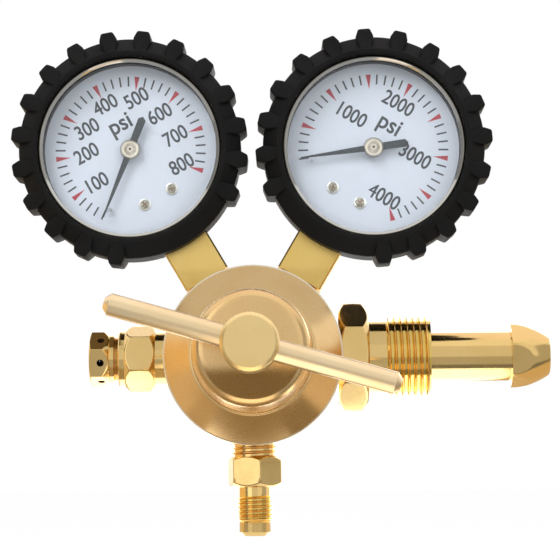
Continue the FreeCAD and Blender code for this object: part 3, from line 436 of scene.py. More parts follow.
class Skin:
    """Rings of points about the z axis, joined into one skin. Radii may vary round a ring."""

    def __init__(self, angles):
        self.angles = angles
        self.points = []
        self.faces = []
        self.last = None

    def add_row(self, radii, heights):
        first = len(self.points)
        for angle, radius, height in zip(self.angles, radii, heights):
            self.points.append((radius * math.cos(angle), radius * math.sin(angle), height))
        return list(range(first, len(self.points)))

    def join(self, row):
        """Joins the last row to this one."""
        if self.last:
            self.faces += ring_faces(self.last, row)
        self.last = row

    def ring(self, radius, height):
        """radius is a number, or a function of the angle and the height."""
        radii = [radius(a, height) if callable(radius) else radius for a in self.angles]
        self.join(self.add_row(radii, [height] * len(radii)))

    def rings(self, profile):
        for radius, height in profile:
            self.ring(radius, height)

    def thread(self, crest, root, pitch, low, high, limit=None):
        """A right-hand thread between two planes, as a strip that climbs one pitch a turn."""
        count = len(thread_steps)
        turns = int(math.ceil((high - low) / pitch)) + 2
        shares = [a / (2 * math.pi) for a in self.angles]
        rows = []
        for k in range(turns * count + 1):
            phase, step_rise = thread_steps[k % count]
            radii = []
            heights = []
            for share in shares:
                height = min(max(low + (k // count - 1 + phase + share) * pitch, low), high)
                rise = step_rise
                if height in (low, high):
                    rise = thread_rise(((height - low) / pitch - share) % 1.0)
                radius = root + (crest - root) * rise
                radii.append(min(radius, limit(height)) if limit else radius)
                heights.append(height)
            rows.append(self.add_row(radii, heights))
        self.join(rows[0])
        end = len(rows) - 1
        for k in range(end):
            here = rows[k]
            above = rows[k + 1]
            self.faces += list(zip(here, here[1:], above[1:], above))
            next_here = rows[min(k + count, end)][0]
            next_above = rows[min(k + 1 + count, end)][0]
            self.faces.append((here[-1], next_here, next_above, above[-1]))
        self.last = rows[end]

    def port_plug(self, bore, start, crest, end):
        """The stretch of a fitting inside its port: its face, then its thread."""
        self.rings([(bore, start), (port_thread_root - plug_chamfer, start)])
        self.thread(crest, port_thread_root, port_thread_pitch, start + plug_chamfer, end - plug_relief)

    def hexagon_head(self, flats, turn, low, high, chamfer):
        """A hexagon between two flat ends, its corners cut by cones."""
        radius = hexagon(flats, turn, low, high, chamfer, chamfer)
        self.ring(flats / 2 * hex_end_share, low)
        for height in crowded(low, high, chamfer):
            self.ring(radius, height)
        self.ring(flats / 2 * hex_end_share, high)

    def close(self):
        """Joins the last ring to the first, as a bore does."""
        self.join(list(range(len(self.angles))))

    def make(self, name, place, material, smooth_angle=32.0):
        return mesh_object(name, self.points, self.faces, place, material, smooth_angle)


def thread_rise(phase):
    """The share of the thread's depth at a phase of its pitch."""
    ends = thread_steps[1:] + [(1.0, thread_steps[0][1])]
    for (start, low), (end, high) in zip(thread_steps, ends):
        if start <= phase <= end:
            return low + (high - low) * (phase - start) / (end - start)
    return 0.0


def arc(middle_r, middle_z, radius, start, end, count=8):
    """Profile points (r, z) of an arc, in degrees from +r towards +z."""
    points = []
    for k in range(count + 1):
        angle = math.radians(start + (end - start) * k / count)
        points.append((middle_r + radius * math.cos(angle), middle_z + radius * math.sin(angle)))
    return points


def rounded(corners, count=5):
    """A profile through (r, z, fillet) corners, each rounded by an arc of its own radius."""
    points = []
    for k, (radius, height, fillet) in enumerate(corners):
        here = Vector((radius, height))
        if not fillet:
            points.append((radius, height))
            continue
        back = (Vector(corners[k - 1][:2]) - here).normalized()
        ahead = (Vector(corners[(k + 1) % len(corners)][:2]) - here).normalized()
        half = back.angle(ahead) / 2
        middle = here + (back + ahead).normalized() * fillet / math.sin(half)
        start = (here + back * fillet / math.tan(half) - middle).normalized()
        end = (here + ahead * fillet / math.tan(half) - middle).normalized()
        for step in range(count + 1):
            way = (start * (1 - step / count) + end * step / count).normalized()
            points.append(tuple(middle + way * fillet))
    return points


def hexagon(flats, turn, low, high, chamfer_low, chamfer_high, sharpness=110.0):
    """A function of angle and height: a hexagon's radius, its corners cut by cones at the ends."""
    apothem = flats / 2
    corner = flats / math.sqrt(3)
    face_radius = apothem * 0.97
    edge_break = 0.18

    def radius(angle, height):
        off = (math.degrees(angle) + 90.0 - turn + 30.0) % 60.0 - 30.0
        near = math.cos(math.radians(off)) / apothem
        far = math.cos(math.radians(60.0 - abs(off))) / apothem
        pull = near ** sharpness + far ** sharpness
        for depth, chamfer in ((height - low, chamfer_low), (high - height, chamfer_high)):
            foot = face_radius if chamfer > edge_break else corner - edge_break
            cone = foot + (corner - foot) * depth / max(chamfer, edge_break)
            pull += (1.0 / cone) ** sharpness
        return pull ** (-1.0 / sharpness)

    return radius


def crowded(low, high, edge, count=14, middle=4):
    """Heights from low to high, closer together near both ends."""
    heights = [low + edge * k / count for k in range(count)]
    heights += [low + edge + (high - low - 2 * edge) * k / middle for k in range(middle)]
    heights += [high - edge + edge * k / count for k in range(count + 1)]
    return heights


def level(thing):
    """Turns a gauge's mesh rather than its object, so that the object's box is square to the frame."""
    upright = Matrix.Translation(thing.matrix_world.translation) @ spin(90, "X")
    thing.data.transform(upright.inverted() @ thing.matrix_world)
    thing.matrix_world = upright
    return thing


def finish_piece(thing, body, slot, *nodes):
    """Rides on a body and stands for its CAD nodes. Its slot is not used."""
    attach(thing, body)
    if nodes:
        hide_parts(*nodes)


# Frames of the pieces

def shift(x, y, z):
    return Matrix.Translation(Vector((x, y, z)) * mm)


def spin(degrees, axis):
    return Matrix.Rotation(math.radians(degrees), 4, axis)


def front_frame():
    return Matrix.Translation(body_centre) @ spin(90, "X")


def port_frame(clock):
    return Matrix.Translation(body_centre) @ spin(clock, "Y")


def gauge_frame(clock):
    return port_frame(clock) @ shift(0.0, 0.0, gauge_reach) @ spin(90, "X")


def handle_frame():
    """The bar's own frame, z along the bar."""
    slope = spin(-handle_slope, "Z") @ shift(handle_offset, 0.0, 0.0)
    return front_frame() @ shift(0.0, 0.0, handle_front) @ slope @ spin(90, "Y")


# Materials

materials = {}
white = (1.0, 1.0, 1.0)

# How fine each texture of the metals is, in patches or lines a metre
patch_scale = 70.0
root_shade_scale = 300.0
grain_scale = 900.0
pit_scale = 2600.0
scratch_scale = 5200.0
lathe_scale = 9000.0


def feed(tree, node, inputs):
    """Gives a node's inputs a number, a colour or another node's output each."""
    for key, value in inputs.items():
        if isinstance(value, bpy.types.NodeSocket):
            tree.links.new(value, node.inputs[key])
        else:
            node.inputs[key].default_value = (*value, 1.0) if isinstance(value, tuple) else value


def add(tree, kind, inputs=None, **settings):
    node = tree.nodes.new(kind)
    for key, value in settings.items():
        setattr(node, key, value)
    feed(tree, node, inputs or {})
    return node


def new_material(name):
    material = bpy.data.materials.new(name)
    material.use_nodes = True
    materials[name] = material
    return material.node_tree, material.node_tree.nodes["Principled BSDF"]


def noise(tree, where, scale, detail=3.0, roughness=0.55, dimensions="3D"):
    inputs = {"Scale": scale, "Detail": detail, "Roughness": roughness}
    inputs["W" if dimensions == "1D" else "Vector"] = where
    return add(tree, "ShaderNodeTexNoise", inputs, noise_dimensions=dimensions).outputs["Fac"]


def remap(tree, value, from_low, from_high, to_low, to_high):
    inputs = {"Value": value, "From Min": from_low, "From Max": from_high,
              "To Min": to_low, "To Max": to_high}
    return add(tree, "ShaderNodeMapRange", inputs).outputs["Result"]


def math_node(tree, operation, *values):
    return add(tree, "ShaderNodeMath", dict(enumerate(values)), operation=operation).outputs["Value"]


def mix_colours(tree, share, colour_a, colour_b):
    inputs = {"Factor": share, "A": colour_a, "B": colour_b}
    return add(tree, "ShaderNodeMix", inputs, data_type="RGBA").outputs["Result"]


def mix_shaders(tree, share, first, second):
    """Shows the first shader where the share is nought, and the second where it is one."""
    blend = add(tree, "ShaderNodeMixShader", {0: share, 1: first, 2: second})
    feed(tree, tree.nodes["Material Output"], {"Surface": blend.outputs[0]})


def bump(tree, height, strength, distance, below=None):
    inputs = {"Height": height, "Strength": strength, "Distance": distance}
    if below is not None:
        inputs["Normal"] = below
    return add(tree, "ShaderNodeBump", inputs).outputs["Normal"]


def object_coordinates(tree):
    return add(tree, "ShaderNodeTexCoord").outputs["Object"]


def axis_distance(tree, where):
    """The distance from a turned piece's axis, and the height along it."""
    split = add(tree, "ShaderNodeSeparateXYZ", {0: where}).outputs
    squares = [math_node(tree, "MULTIPLY", split[axis], split[axis]) for axis in "XY"]
    return math_node(tree, "SQRT", math_node(tree, "ADD", *squares)), split["Z"]


def turned_lines(tree, where, slant=0.83):
    """A value that varies along a turned piece's profile and not round it."""
    radius, height = axis_distance(tree, where)
    along = math_node(tree, "ADD", radius, math_node(tree, "MULTIPLY", height, slant))
    return noise(tree, along, lathe_scale, 2.0, 0.6, "1D")


def seen_rays(tree):
    """One where a camera, metal or glass looks, and nought where light only falls."""
    path = add(tree, "ShaderNodeLightPath").outputs
    seen = math_node(tree, "MAXIMUM", path["Is Camera Ray"], path["Is Glossy Ray"])
    return math_node(tree, "MAXIMUM", seen, path["Is Transmission Ray"])


def metal(name, light, dark, rough_low, rough_high, turned=0.0, pits=0.0, scratches=0.05, ring_spread=0.0):
    """Machined metal: patches of tone, fine scratches, and lines of the lathe where turned."""
    tree, shader = new_material(name)
    where = object_coordinates(tree)
    tone = remap(tree, noise(tree, where, patch_scale, 4.0), 0.3, 0.7, 0.0, 1.0)
    spread = math_node(tree, "MULTIPLY", tone, noise(tree, where, grain_scale, 2.0))
    normal = bump(tree, noise(tree, where, scratch_scale, 2.0), scratches, 0.00004)
    if turned:
        normal = bump(tree, turned_lines(tree, where), turned, 0.00005, normal)
    if pits:
        spots = remap(tree, noise(tree, where, pit_scale, 1.0), 0.60, 0.72, 0.0, -1.0)
        normal = bump(tree, spots, pits, 0.0001, normal)
    feed(tree, shader, {
        "Base Color": mix_colours(tree, tone, light, dark),
        "Metallic": 1.0,
        "Roughness": remap(tree, spread, 0.05, 0.5, rough_low, rough_high),
        "Normal": normal,
    })
    if ring_spread:
        tangent = add(tree, "ShaderNodeTangent", direction_type="RADIAL", axis="Z")
        feed(tree, shader, {"Anisotropic": ring_spread, "Tangent": tangent.outputs[0]})
    return tree, shader


def plain(name, light, dark, rough_low, rough_high, scale, relief, metallic=0.0, specular=0.5):
    """Rubber, plastic, enamel and sintered surfaces: a fine grain of tone and relief."""
    tree, shader = new_material(name)
    where = object_coordinates(tree)
    grain = noise(tree, where, scale, 4.0)
    broad = noise(tree, where, scale / 25.0, 2.0)
    tone = remap(tree, math_node(tree, "ADD", grain, broad), 0.7, 1.3, 0.0, 1.0)
    feed(tree, shader, {
        "Base Color": mix_colours(tree, tone, light, dark),
        "Metallic": metallic,
        "Specular IOR Level": specular,
        "Roughness": remap(tree, broad, 0.3, 0.7, rough_low, rough_high),
        "Normal": bump(tree, grain, relief, 0.0001),
    })


def threaded_metal(name, root_light, root_dark, crest, root, low, high):
    """Polished brass whose thread is painted a deeper yellow towards its roots, darker in patches: painted
    shade in the thread's grooves.
    """
    tree, shader = metal(name, polished_light, polished_dark, 0.08, 0.18, turned=0.03)
    where = object_coordinates(tree)
    radius, height = axis_distance(tree, where)
    share = remap(tree, radius, crest * mm, root * mm, 0.0, 1.0)
    for value, test, bound in ((height, "GREATER_THAN", low), (height, "LESS_THAN", high),
                               (radius, "GREATER_THAN", root - 0.5)):
        share = math_node(tree, "MULTIPLY", share, math_node(tree, test, value, bound * mm))
    # Painted shade in the grooves: two root colours in patches, mixed in by depth below the crest.
    root_shade_tone = mix_colours(tree, noise(tree, where, root_shade_scale, 2.0), root_light, root_dark)
    own = shader.inputs["Base Color"].links[0].from_socket
    feed(tree, shader, {"Base Color": mix_colours(tree, share, own, root_shade_tone)})


def glass(name):
    """Clear glass that lets light through to the dial."""
    tree, shader = new_material(name)
    feed(tree, shader, {"Base Color": (0.97, 0.99, 1.0), "Roughness": 0.0, "IOR": 1.45,
                        "Transmission Weight": 1.0})
    clear = add(tree, "ShaderNodeBsdfTransparent", {"Color": (0.97, 0.98, 1.0)})
    shadow = add(tree, "ShaderNodeLightPath").outputs["Is Shadow Ray"]
    mix_shaders(tree, shadow, shader.outputs[0], clear.outputs[0])


polished_light = (0.90, 0.64, 0.27)
polished_dark = (0.84, 0.57, 0.21)

metal("body_brass", (0.80, 0.58, 0.27), (0.72, 0.49, 0.20), 0.20, 0.34, turned=0.10)
metal("bonnet_brass", (0.87, 0.60, 0.29), (0.80, 0.53, 0.23), 0.24, 0.32, turned=0.06, scratches=0.0,
      ring_spread=0.35)
# A paler, near-white brass for the bonnet flange's front edge: a painted highlight.
metal("rim_painted_highlight", (1.0, 0.90, 0.72), (0.98, 0.86, 0.66), 0.35, 0.45, scratches=0.02)
metal("polished_brass", polished_light, polished_dark, 0.08, 0.18, turned=0.03)
metal("handle_brass", (1.0, 0.75, 0.36), (0.93, 0.67, 0.28), 0.26, 0.40, pits=0.30)
metal("rod_brass", (1.0, 0.79, 0.49), (0.96, 0.73, 0.42), 0.28, 0.38, scratches=0.03)
metal("stem_brass", (0.95, 0.69, 0.24), (0.88, 0.61, 0.18), 0.32, 0.44, scratches=0.10)
metal("brass", (0.82, 0.60, 0.26), (0.74, 0.52, 0.20), 0.20, 0.34)
metal("hub_champagne", (0.98, 0.91, 0.78), (0.95, 0.86, 0.71), 0.30, 0.42, turned=0.03)
metal("copper", (0.78, 0.47, 0.14), (0.60, 0.33, 0.07), 0.16, 0.28, turned=0.1)
metal("bronze_tube", (0.74, 0.46, 0.22), (0.64, 0.37, 0.16), 0.24, 0.36)
metal("steel", (0.62, 0.63, 0.65), (0.52, 0.53, 0.55), 0.22, 0.34)
metal("screw_silver", (0.93, 0.92, 0.86), (0.88, 0.86, 0.78), 0.24, 0.36)
metal("nickel", (0.80, 0.76, 0.68), (0.70, 0.66, 0.58), 0.16, 0.28, turned=0.08)
# dark_chrome and the brighter chrome below are a shaded and a lit copy of one chrome: the bezel's dark base
# is painted shade for its dark reflections, and the bright copy is a painted highlight.
metal("dark_chrome", (0.17, 0.155, 0.125), (0.12, 0.11, 0.09), 0.12, 0.2, scratches=0.02)
metal("chrome_painted_highlight", (0.60, 0.59, 0.56), (0.52, 0.51, 0.48), 0.06, 0.12, scratches=0.02)
# nut_brass and outlet_brass carry painted shade: a deeper, darker yellow towards the thread roots.
threaded_metal("nut_brass", (0.93, 0.69, 0.24), (0.82, 0.56, 0.13),
               nut_thread_radius, nut_thread_root, nut_thread_start, nut_end)
threaded_metal("outlet_brass", (0.92, 0.67, 0.22), (0.80, 0.53, 0.12),
               flare_thread_radius, flare_thread_root, flare_thread_start, flare_thread_end)
plain("sintered_bronze", (0.55, 0.36, 0.18), (0.38, 0.23, 0.10), 0.55, 0.7, 3000.0, 0.9, metallic=0.8)
plain("case_black", (0.022, 0.022, 0.023), (0.014, 0.014, 0.015), 0.35, 0.5, 1800.0, 0.15, specular=0.3)
plain("boot_rubber", (0.0075, 0.0070, 0.0068), (0.0048, 0.0045, 0.0044), 0.50, 0.62, 1600.0, 0.15,
      specular=0.13)
plain("black_rubber", (0.020, 0.020, 0.020), (0.012, 0.012, 0.012), 0.5, 0.65, 1500.0, 0.3)
plain("white_plastic", (0.80, 0.80, 0.78), (0.74, 0.74, 0.72), 0.35, 0.5, 900.0, 0.1)
plain("dial_white", (0.76, 0.80, 0.875), (0.74, 0.785, 0.865), 0.32, 0.42, 500.0, 0.02)
plain("pointer_dark", (0.050, 0.060, 0.066), (0.038, 0.046, 0.052), 0.32, 0.45, 1500.0, 0.08)
# A dark brown for the screws' cross recesses: painted shade.
plain("recess_brown", (0.30, 0.19, 0.10), (0.22, 0.13, 0.06), 0.45, 0.6, 1500.0, 0.1)
# A near-black brown for the relief cap's bore: painted shade.
plain("bore_painted_shade", (0.07, 0.035, 0.015), (0.04, 0.02, 0.01), 0.6, 0.8, 1500.0, 0.1, specular=0.1)
# A dark brown for the pointer cap's dimple: painted shade.
plain("dimple_painted_shade", (0.10, 0.07, 0.04), (0.07, 0.05, 0.03), 0.5, 0.6, 1500.0, 0.1)
plain("ink_dark", (0.060, 0.068, 0.078), (0.050, 0.057, 0.066), 0.45, 0.55, 900.0, 0.05)
plain("ink_red", (0.56, 0.055, 0.075), (0.50, 0.045, 0.065), 0.42, 0.52, 900.0, 0.05)
glass("lens_glass")


# CAD nodes that stay

def smooth_group(degrees):
    """A node group that shades a mesh smooth, apart from edges sharper than an angle."""
    group = bpy.data.node_groups.new("smooth_by_angle", "GeometryNodeTree")
    for way in ("INPUT", "OUTPUT"):
        group.interface.new_socket("Geometry", in_out=way, socket_type="NodeSocketGeometry")
    start = add(group, "NodeGroupInput")
    faces = add(group, "GeometryNodeSetShadeSmooth", {"Geometry": start.outputs[0]}, domain="FACE")
    angle = add(group, "GeometryNodeInputMeshEdgeAngle").outputs["Unsigned Angle"]
    sharper = add(group, "FunctionNodeCompare", {"A": angle, "B": math.radians(degrees)},
                  data_type="FLOAT", operation="GREATER_THAN")
    edge_inputs = {"Geometry": faces.outputs[0], "Selection": sharper.outputs[0], "Shade Smooth": False}
    edges = add(group, "GeometryNodeSetShadeSmooth", edge_inputs, domain="EDGE")
    add(group, "NodeGroupOutput", {0: edges.outputs[0]})
    return group


def dress_nodes():
    """Gives each CAD node its slot's material and smooth shading."""
    slots = {entry["node"]: entry["material_slot"] for entry in frame["record"]["subparts"]}
    group = smooth_group(node_crease)
    for name, thing in frame["nodes"].items():
        thing.data.materials.clear()
        thing.data.materials.append(materials[slots[name]])
        weld = thing.modifiers.new("weld", "WELD")
        weld.merge_threshold = 1e-6
        smooth = thing.modifiers.new("smooth", "NODES")
        smooth.node_group = group


# Bonnet

def bonnet():
    shoulder = arc(dome_shoulder_radius - dome_shoulder_rounding, dome_shoulder, dome_shoulder_rounding,
                   0.0, dome_shoulder_end, 12)
    crown_radius, crown_edge = shoulder[-1]
    crown = []
    for k in range(1, crown_steps + 1):
        share = k / crown_steps
        rise = (crown_top - crown_edge) * (1 - share) ** crown_power
        crown.append((crown_radius * (1 - share) + crown_inner_radius * share, crown_top - rise))
    rim = flange_radius - flange_rounding
    skin = Skin(even_columns(192))
    skin.rings([
        (screw_hole, crown_under), (spring_room_radius - 0.8, crown_under), (spring_room_radius, dome_foot),
        (spring_mouth_radius, flange_front), (spring_mouth_radius, clamp_face), (skirt_bore, clamp_face),
        (skirt_bore, skirt_back), (skirt_radius, skirt_back), (skirt_radius, flange_back),
    ])
    skin.rings(arc(rim, flange_back + flange_rounding, flange_rounding, -90, 0, 5))
    skin.rings(arc(rim, flange_front - flange_rounding, flange_rounding, 0, 55, 6))
    skin.rings([(flange_radius - 0.45, flange_front - 0.02), (dome_foot_radius + 0.12, dome_foot - 0.10)])
    skin.rings(arc(dome_foot_radius - foot_rounding, dome_foot - 0.05, foot_rounding, 20, 90, 4))
    skin.rings(arc(dome_wall_radius + foot_hollow, dome_foot + 0.72, foot_hollow, 250, 180, 5))
    skin.rings([(dome_wall_radius - 0.05, dome_foot + 3.0)])
    skin.rings([(dome_shoulder_radius + 0.05, dome_shoulder - 1.5)] + shoulder + crown)
    skin.rings([(screw_hole + 0.5, crown_top), (screw_hole, crown_top - 0.6)])
    skin.close()
    shell = skin.make("bonnet_shell", front_frame(), "bonnet_brass", turned_crease)
    # The flange's front outer edge is painted paler: a painted highlight.
    paint(shell, "rim_painted_highlight", lambda r, z: r > flange_radius - 0.42 and z > flange_front - 0.62)
    finish_piece(shell, "regulator", "bonnet_brass", "bonnet")


# Adjusting screw and handle

def adjusting_screw():
    thread_low = screw_end + screw_chamfer
    flat = hub_radius - hub_chamfer
    low = hub_back + hub_chamfer
    high = hub_front - hub_chamfer
    skin = Skin(even_columns(144))
    skin.rings([(0.0, screw_end), (screw_root - screw_chamfer, screw_end), (screw_root, thread_low)])
    skin.thread(screw_radius, screw_root, screw_pitch, thread_low, hub_back - 1.2)
    skin.rings([
        (screw_root, hub_back - 0.4), (screw_root + 0.3, hub_back), (flat - 0.15, hub_back),
        (flat + 0.05, hub_back + 0.08), (hub_radius - 0.08, low - 0.05), (hub_radius, low + 0.15),
        (hub_radius, high - 0.15), (hub_radius - 0.06, high), (flat + 0.08, hub_front - 0.10),
        (flat - 0.08, hub_front), (hub_radius - 1.6, hub_front), (2.5, hub_front), (0.0, hub_front),
    ])
    screw = skin.make("adjusting_screw_hub", front_frame(), "handle_brass", turned_crease)
    reach = 3 * hub_radius
    drill(screw, handle_frame(), "handle_brass", handle_radius + handle_gap, -reach, reach, 64)
    tidy_mesh(screw.data, turned_crease)
    finish_piece(screw, "t_handle", "handle_brass", "adjusting_screw")


def handle_bar():
    half = handle_length / 2
    tip = handle_radius - handle_chamfer
    skin = Skin(even_columns(96))
    skin.rings(rounded([
        (0.0, -half, 0), (tip, -half, 0.3), (handle_radius, handle_chamfer - half, 0.3),
        (handle_radius, half - handle_chamfer, 0.3), (tip, half, 0.3), (0.0, half, 0),
    ]))
    bar = skin.make("t_handle_bar", handle_frame(), "rod_brass", bar_crease)
    finish_piece(bar, "t_handle", "rod_brass", "t_handle_rod")


# Inlet

def nose_radius(height):
    """The nose's turned side: a straight cone that swells by a little halfway."""
    share = (height - nose_shoulder) / (nose_end - nose_crown - nose_shoulder)
    straight = nose_base_radius + (nose_end_radius - nose_base_radius) * share
    return straight + 4 * nose_bulge * share * (1 - share)


def inlet_nipple():
    flats = hexagon(nose_flats, nose_flat_turn, -1e3, 1e3, 0.0, 0.0)

    def nose(angle, height):
        side = nose_radius(height)
        flat = max(flats(angle, height), nose_end_radius)
        return (side ** -nose_sharpness + flat ** -nose_sharpness) ** (-1.0 / nose_sharpness)

    skin = Skin(hex_columns(nose_flat_turn, 36))
    skin.port_plug(filter_pocket_radius, nipple_start, port_thread_radius, port_face)
    skin.rings([
        (nipple_radius - 0.25, port_face), (nipple_radius, port_face + 0.25),
        (nipple_radius, port_face + 20.0), (nipple_radius, nose_shoulder),
        (nose_base_radius - 0.35, nose_shoulder),
    ])
    start = nose_shoulder + 0.06
    span = nose_end - nose_crown - start
    for k in range(nose_steps + 1):
        skin.ring(nose, start + span * k / nose_steps)
    skin.rings([(nose_end_radius - 0.18, nose_end - nose_crown + 0.12)])
    for k in range(1, 8):
        share = k / 8
        drop = nose_crown * (1 - share) ** 2 * 0.75
        skin.ring(nose_end_radius * (1 - share) + nipple_bore * share, nose_end - drop)
    skin.rings([
        (nipple_bore + 0.3, nose_end), (nipple_bore, nose_end - 0.3),
        (nipple_bore, filter_pocket_end), (filter_pocket_radius, filter_pocket_end),
    ])
    skin.close()
    shank = skin.make("inlet_nipple_shank", port_frame(inlet_angle), "polished_brass", nipple_crease)
    finish_piece(shank, "regulator", "polished_brass", "inlet_nipple")


def inlet_nut():
    def limit(height):
        return nut_thread_radius - max(0.0, height - (nut_end - 1.0))

    skin = Skin(hex_columns(0.0))
    skin.rings([(nut_bore, nut_back + 0.4), (nut_bore + 0.4, nut_back)])
    skin.hexagon_head(nut_flats, 0.0, nut_back, nut_hex_end, nut_chamfer)
    skin.rings([
        (nut_collar_radius + 0.25, nut_hex_end), (nut_collar_radius, nut_hex_end + 0.25),
        (nut_collar_radius, nut_thread_start - 0.02),
    ])
    skin.thread(nut_thread_radius, nut_thread_root, nut_thread_pitch, nut_thread_start, nut_end - 0.02, limit)
    skin.rings([(nut_thread_root - 0.3, nut_end), (nut_bore + 0.5, nut_end), (nut_bore, nut_end - 0.5)])
    skin.close()
    nut = skin.make("inlet_nut_threaded", port_frame(inlet_angle), "nut_brass", fitting_crease)
    finish_piece(nut, "cylinder_nut", "polished_brass", "inlet_nut")


# Relief valve

def relief_body():
    skin = Skin(hex_columns(relief_hex_turn, 36))
    skin.port_plug(relief_bore, port_face - plug_length, port_thread_radius, port_face)
    skin.rings([
        (relief_neck_radius - 0.25, port_face), (relief_neck_radius, port_face + 0.25),
        (relief_neck_radius, relief_hex_start),
    ])
    skin.hexagon_head(relief_hex_flats, relief_hex_turn, relief_hex_start, relief_hex_end,
                      relief_hex_chamfer)
    skin.rings([
        (relief_shoulder_radius, relief_hex_end), (relief_shoulder_radius, relief_shoulder_end - 0.3),
        (relief_shoulder_radius - 0.3, relief_shoulder_end), (cap_socket_radius, relief_shoulder_end),
        (cap_socket_radius, relief_room_end), (relief_room_radius, relief_room_end),
        (relief_room_radius, relief_seat), (relief_lip_radius, relief_seat),
        (relief_lip_radius, relief_seat + relief_lip_height), (relief_bore, relief_seat + relief_lip_height),
    ])
    skin.close()
    valve = skin.make("relief_valve_body", port_frame(relief_angle), "polished_brass", fitting_crease)
    finish_piece(valve, "regulator", "polished_brass", "relief_body")


def relief_washer():
    """The joint ring between cap and body, with two grooves turned in its rim."""
    low = relief_shoulder_end
    high = cap_start
    groove = washer_radius - 0.25
    skin = Skin(even_columns(96))
    skin.rings([(cap_socket_radius, low), (washer_radius - 0.12, low), (washer_radius, low + 0.12)])
    for middle in (low + (high - low) / 3, low + (high - low) * 2 / 3):
        skin.rings([(washer_radius, middle - 0.16), (groove, middle - 0.06)])
        skin.rings([(groove, middle + 0.06), (washer_radius, middle + 0.16)])
    skin.rings([(washer_radius, high - 0.12), (washer_radius - 0.12, high), (cap_socket_radius, high)])
    skin.close()
    washer = skin.make("relief_joint_ring", port_frame(relief_angle), "copper", fitting_crease)
    finish_piece(washer, "regulator", "copper", "relief_washer")


def relief_cap():
    """The vented cap: a hexagon head on a tube, hollow as far as its vents."""
    radius = hexagon(cap_flats, cap_hex_turn, cap_hex_start, cap_end, cap_inner_chamfer, cap_outer_chamfer)
    skin = Skin(hex_columns(cap_hex_turn, 32))
    skin.rings([
        (cap_bore, cap_tube_start), (cap_tube_radius, cap_tube_start), (cap_tube_radius, cap_start),
        (cap_neck_radius, cap_start), (cap_neck_radius, cap_hex_start - 0.05),
    ])
    for height in crowded(cap_hex_start, cap_end, cap_outer_chamfer, 8, 14):
        skin.ring(radius, height)
    skin.rings([(cap_flats / 2 * 0.94, cap_end), (2.0, cap_end), (0.0, cap_end)])
    inner = Skin(skin.angles)
    inner.rings([(cap_bore, cap_tube_start), (cap_bore, cap_bore_end), (0.0, cap_bore_end)])
    points, faces = collect([(skin.points, skin.faces), (inner.points, inner.faces)])
    place = port_frame(relief_angle)
    cap = mesh_object("relief_valve_cap", points, faces, place, "polished_brass", fitting_crease)
    for k in range(6):
        vent = shift(0.0, 0.0, cap_vent_at) @ spin(cap_hex_turn - 90.0 + 60.0 * k, "Z") @ spin(90, "Y")
        drill(cap, place @ vent, "polished_brass", cap_vent_radius, *cap_vent_reach, 28)
    tidy_mesh(cap.data, fitting_crease)
    # The cap's inner bore and vent walls are painted near-black: painted shade in the hollow.
    paint(cap, "bore_painted_shade", lambda r, z: r < cap_flats / 2 - 0.3 and cap_hex_start < z < cap_end - 0.1)
    finish_piece(cap, "regulator", "polished_brass", "relief_cap")


# Outlet

def outlet_fitting():
    def limit(height):
        run_in = flare_thread_start + flare_thread_run - height
        run_out = height - (flare_thread_end - flare_thread_run)
        return flare_thread_radius - max(run_in, 0.0, run_out)

    skin = Skin(hex_columns(outlet_hex_turn, 36))
    skin.port_plug(outlet_bore, port_face - plug_length, outlet_taper_radius, outlet_hex_start)
    skin.rings([(port_thread_root, outlet_hex_start)])
    skin.hexagon_head(outlet_flats, outlet_hex_turn, outlet_hex_start, outlet_hex_end, outlet_hex_chamfer)
    skin.rings([
        (outlet_neck_radius + 0.2, outlet_hex_end), (outlet_neck_radius, outlet_hex_end + 0.2),
        (outlet_neck_radius, flare_thread_start - 0.1),
    ])
    skin.thread(flare_thread_radius, flare_thread_root, flare_thread_pitch,
                flare_thread_start, flare_thread_end, limit)
    skin.rings([
        (flare_collar_radius - 0.15, flare_thread_end + 0.05), (flare_collar_radius, flare_thread_end + 0.3),
        (flare_collar_radius, flare_start), (flare_end_radius, flare_end),
        (outlet_bore + 0.2, flare_end), (outlet_bore, flare_end - 0.2),
    ])
    skin.close()
    fitting = skin.make("outlet_flare_fitting", port_frame(outlet_angle), "outlet_brass", fitting_crease)
    finish_piece(fitting, "regulator", "polished_brass", "outlet_fitting")


# Gauges

def gauge_bezel(side, place):
    """A thin rounded ring with a fine step at its outer edge, sloping in to the glass."""
    slope_start = bezel_lip_radius + bezel_slope
    glass_face = lens_front + 0.02
    skin = Skin(even_columns(192))
    skin.rings(rounded([
        (bezel_inner, bezel_back, 0), (bezel_radius, bezel_back, 0.1),
        (bezel_radius, bezel_front - 0.1, 0.12), (bezel_radius - 0.3, bezel_front, 0.08),
        (slope_start, bezel_front, 0.1),
        (bezel_lip_radius, bezel_front - 0.5, 0.08), (bezel_lip_radius, glass_face, 0),
        (bezel_inner, glass_face, 0),
    ]))
    skin.close()
    bezel = skin.make(side + "gauge_bezel_ring", place, "dark_chrome", bezel_crease)
    # The bezel's inner slope takes the brighter chrome copy: a painted highlight.
    paint(bezel, "chrome_painted_highlight", lambda r, z: r < slope_start and z > bezel_front - 0.6)
    finish_piece(level(bezel), "regulator", "dark_chrome", side + "gauge_bezel")


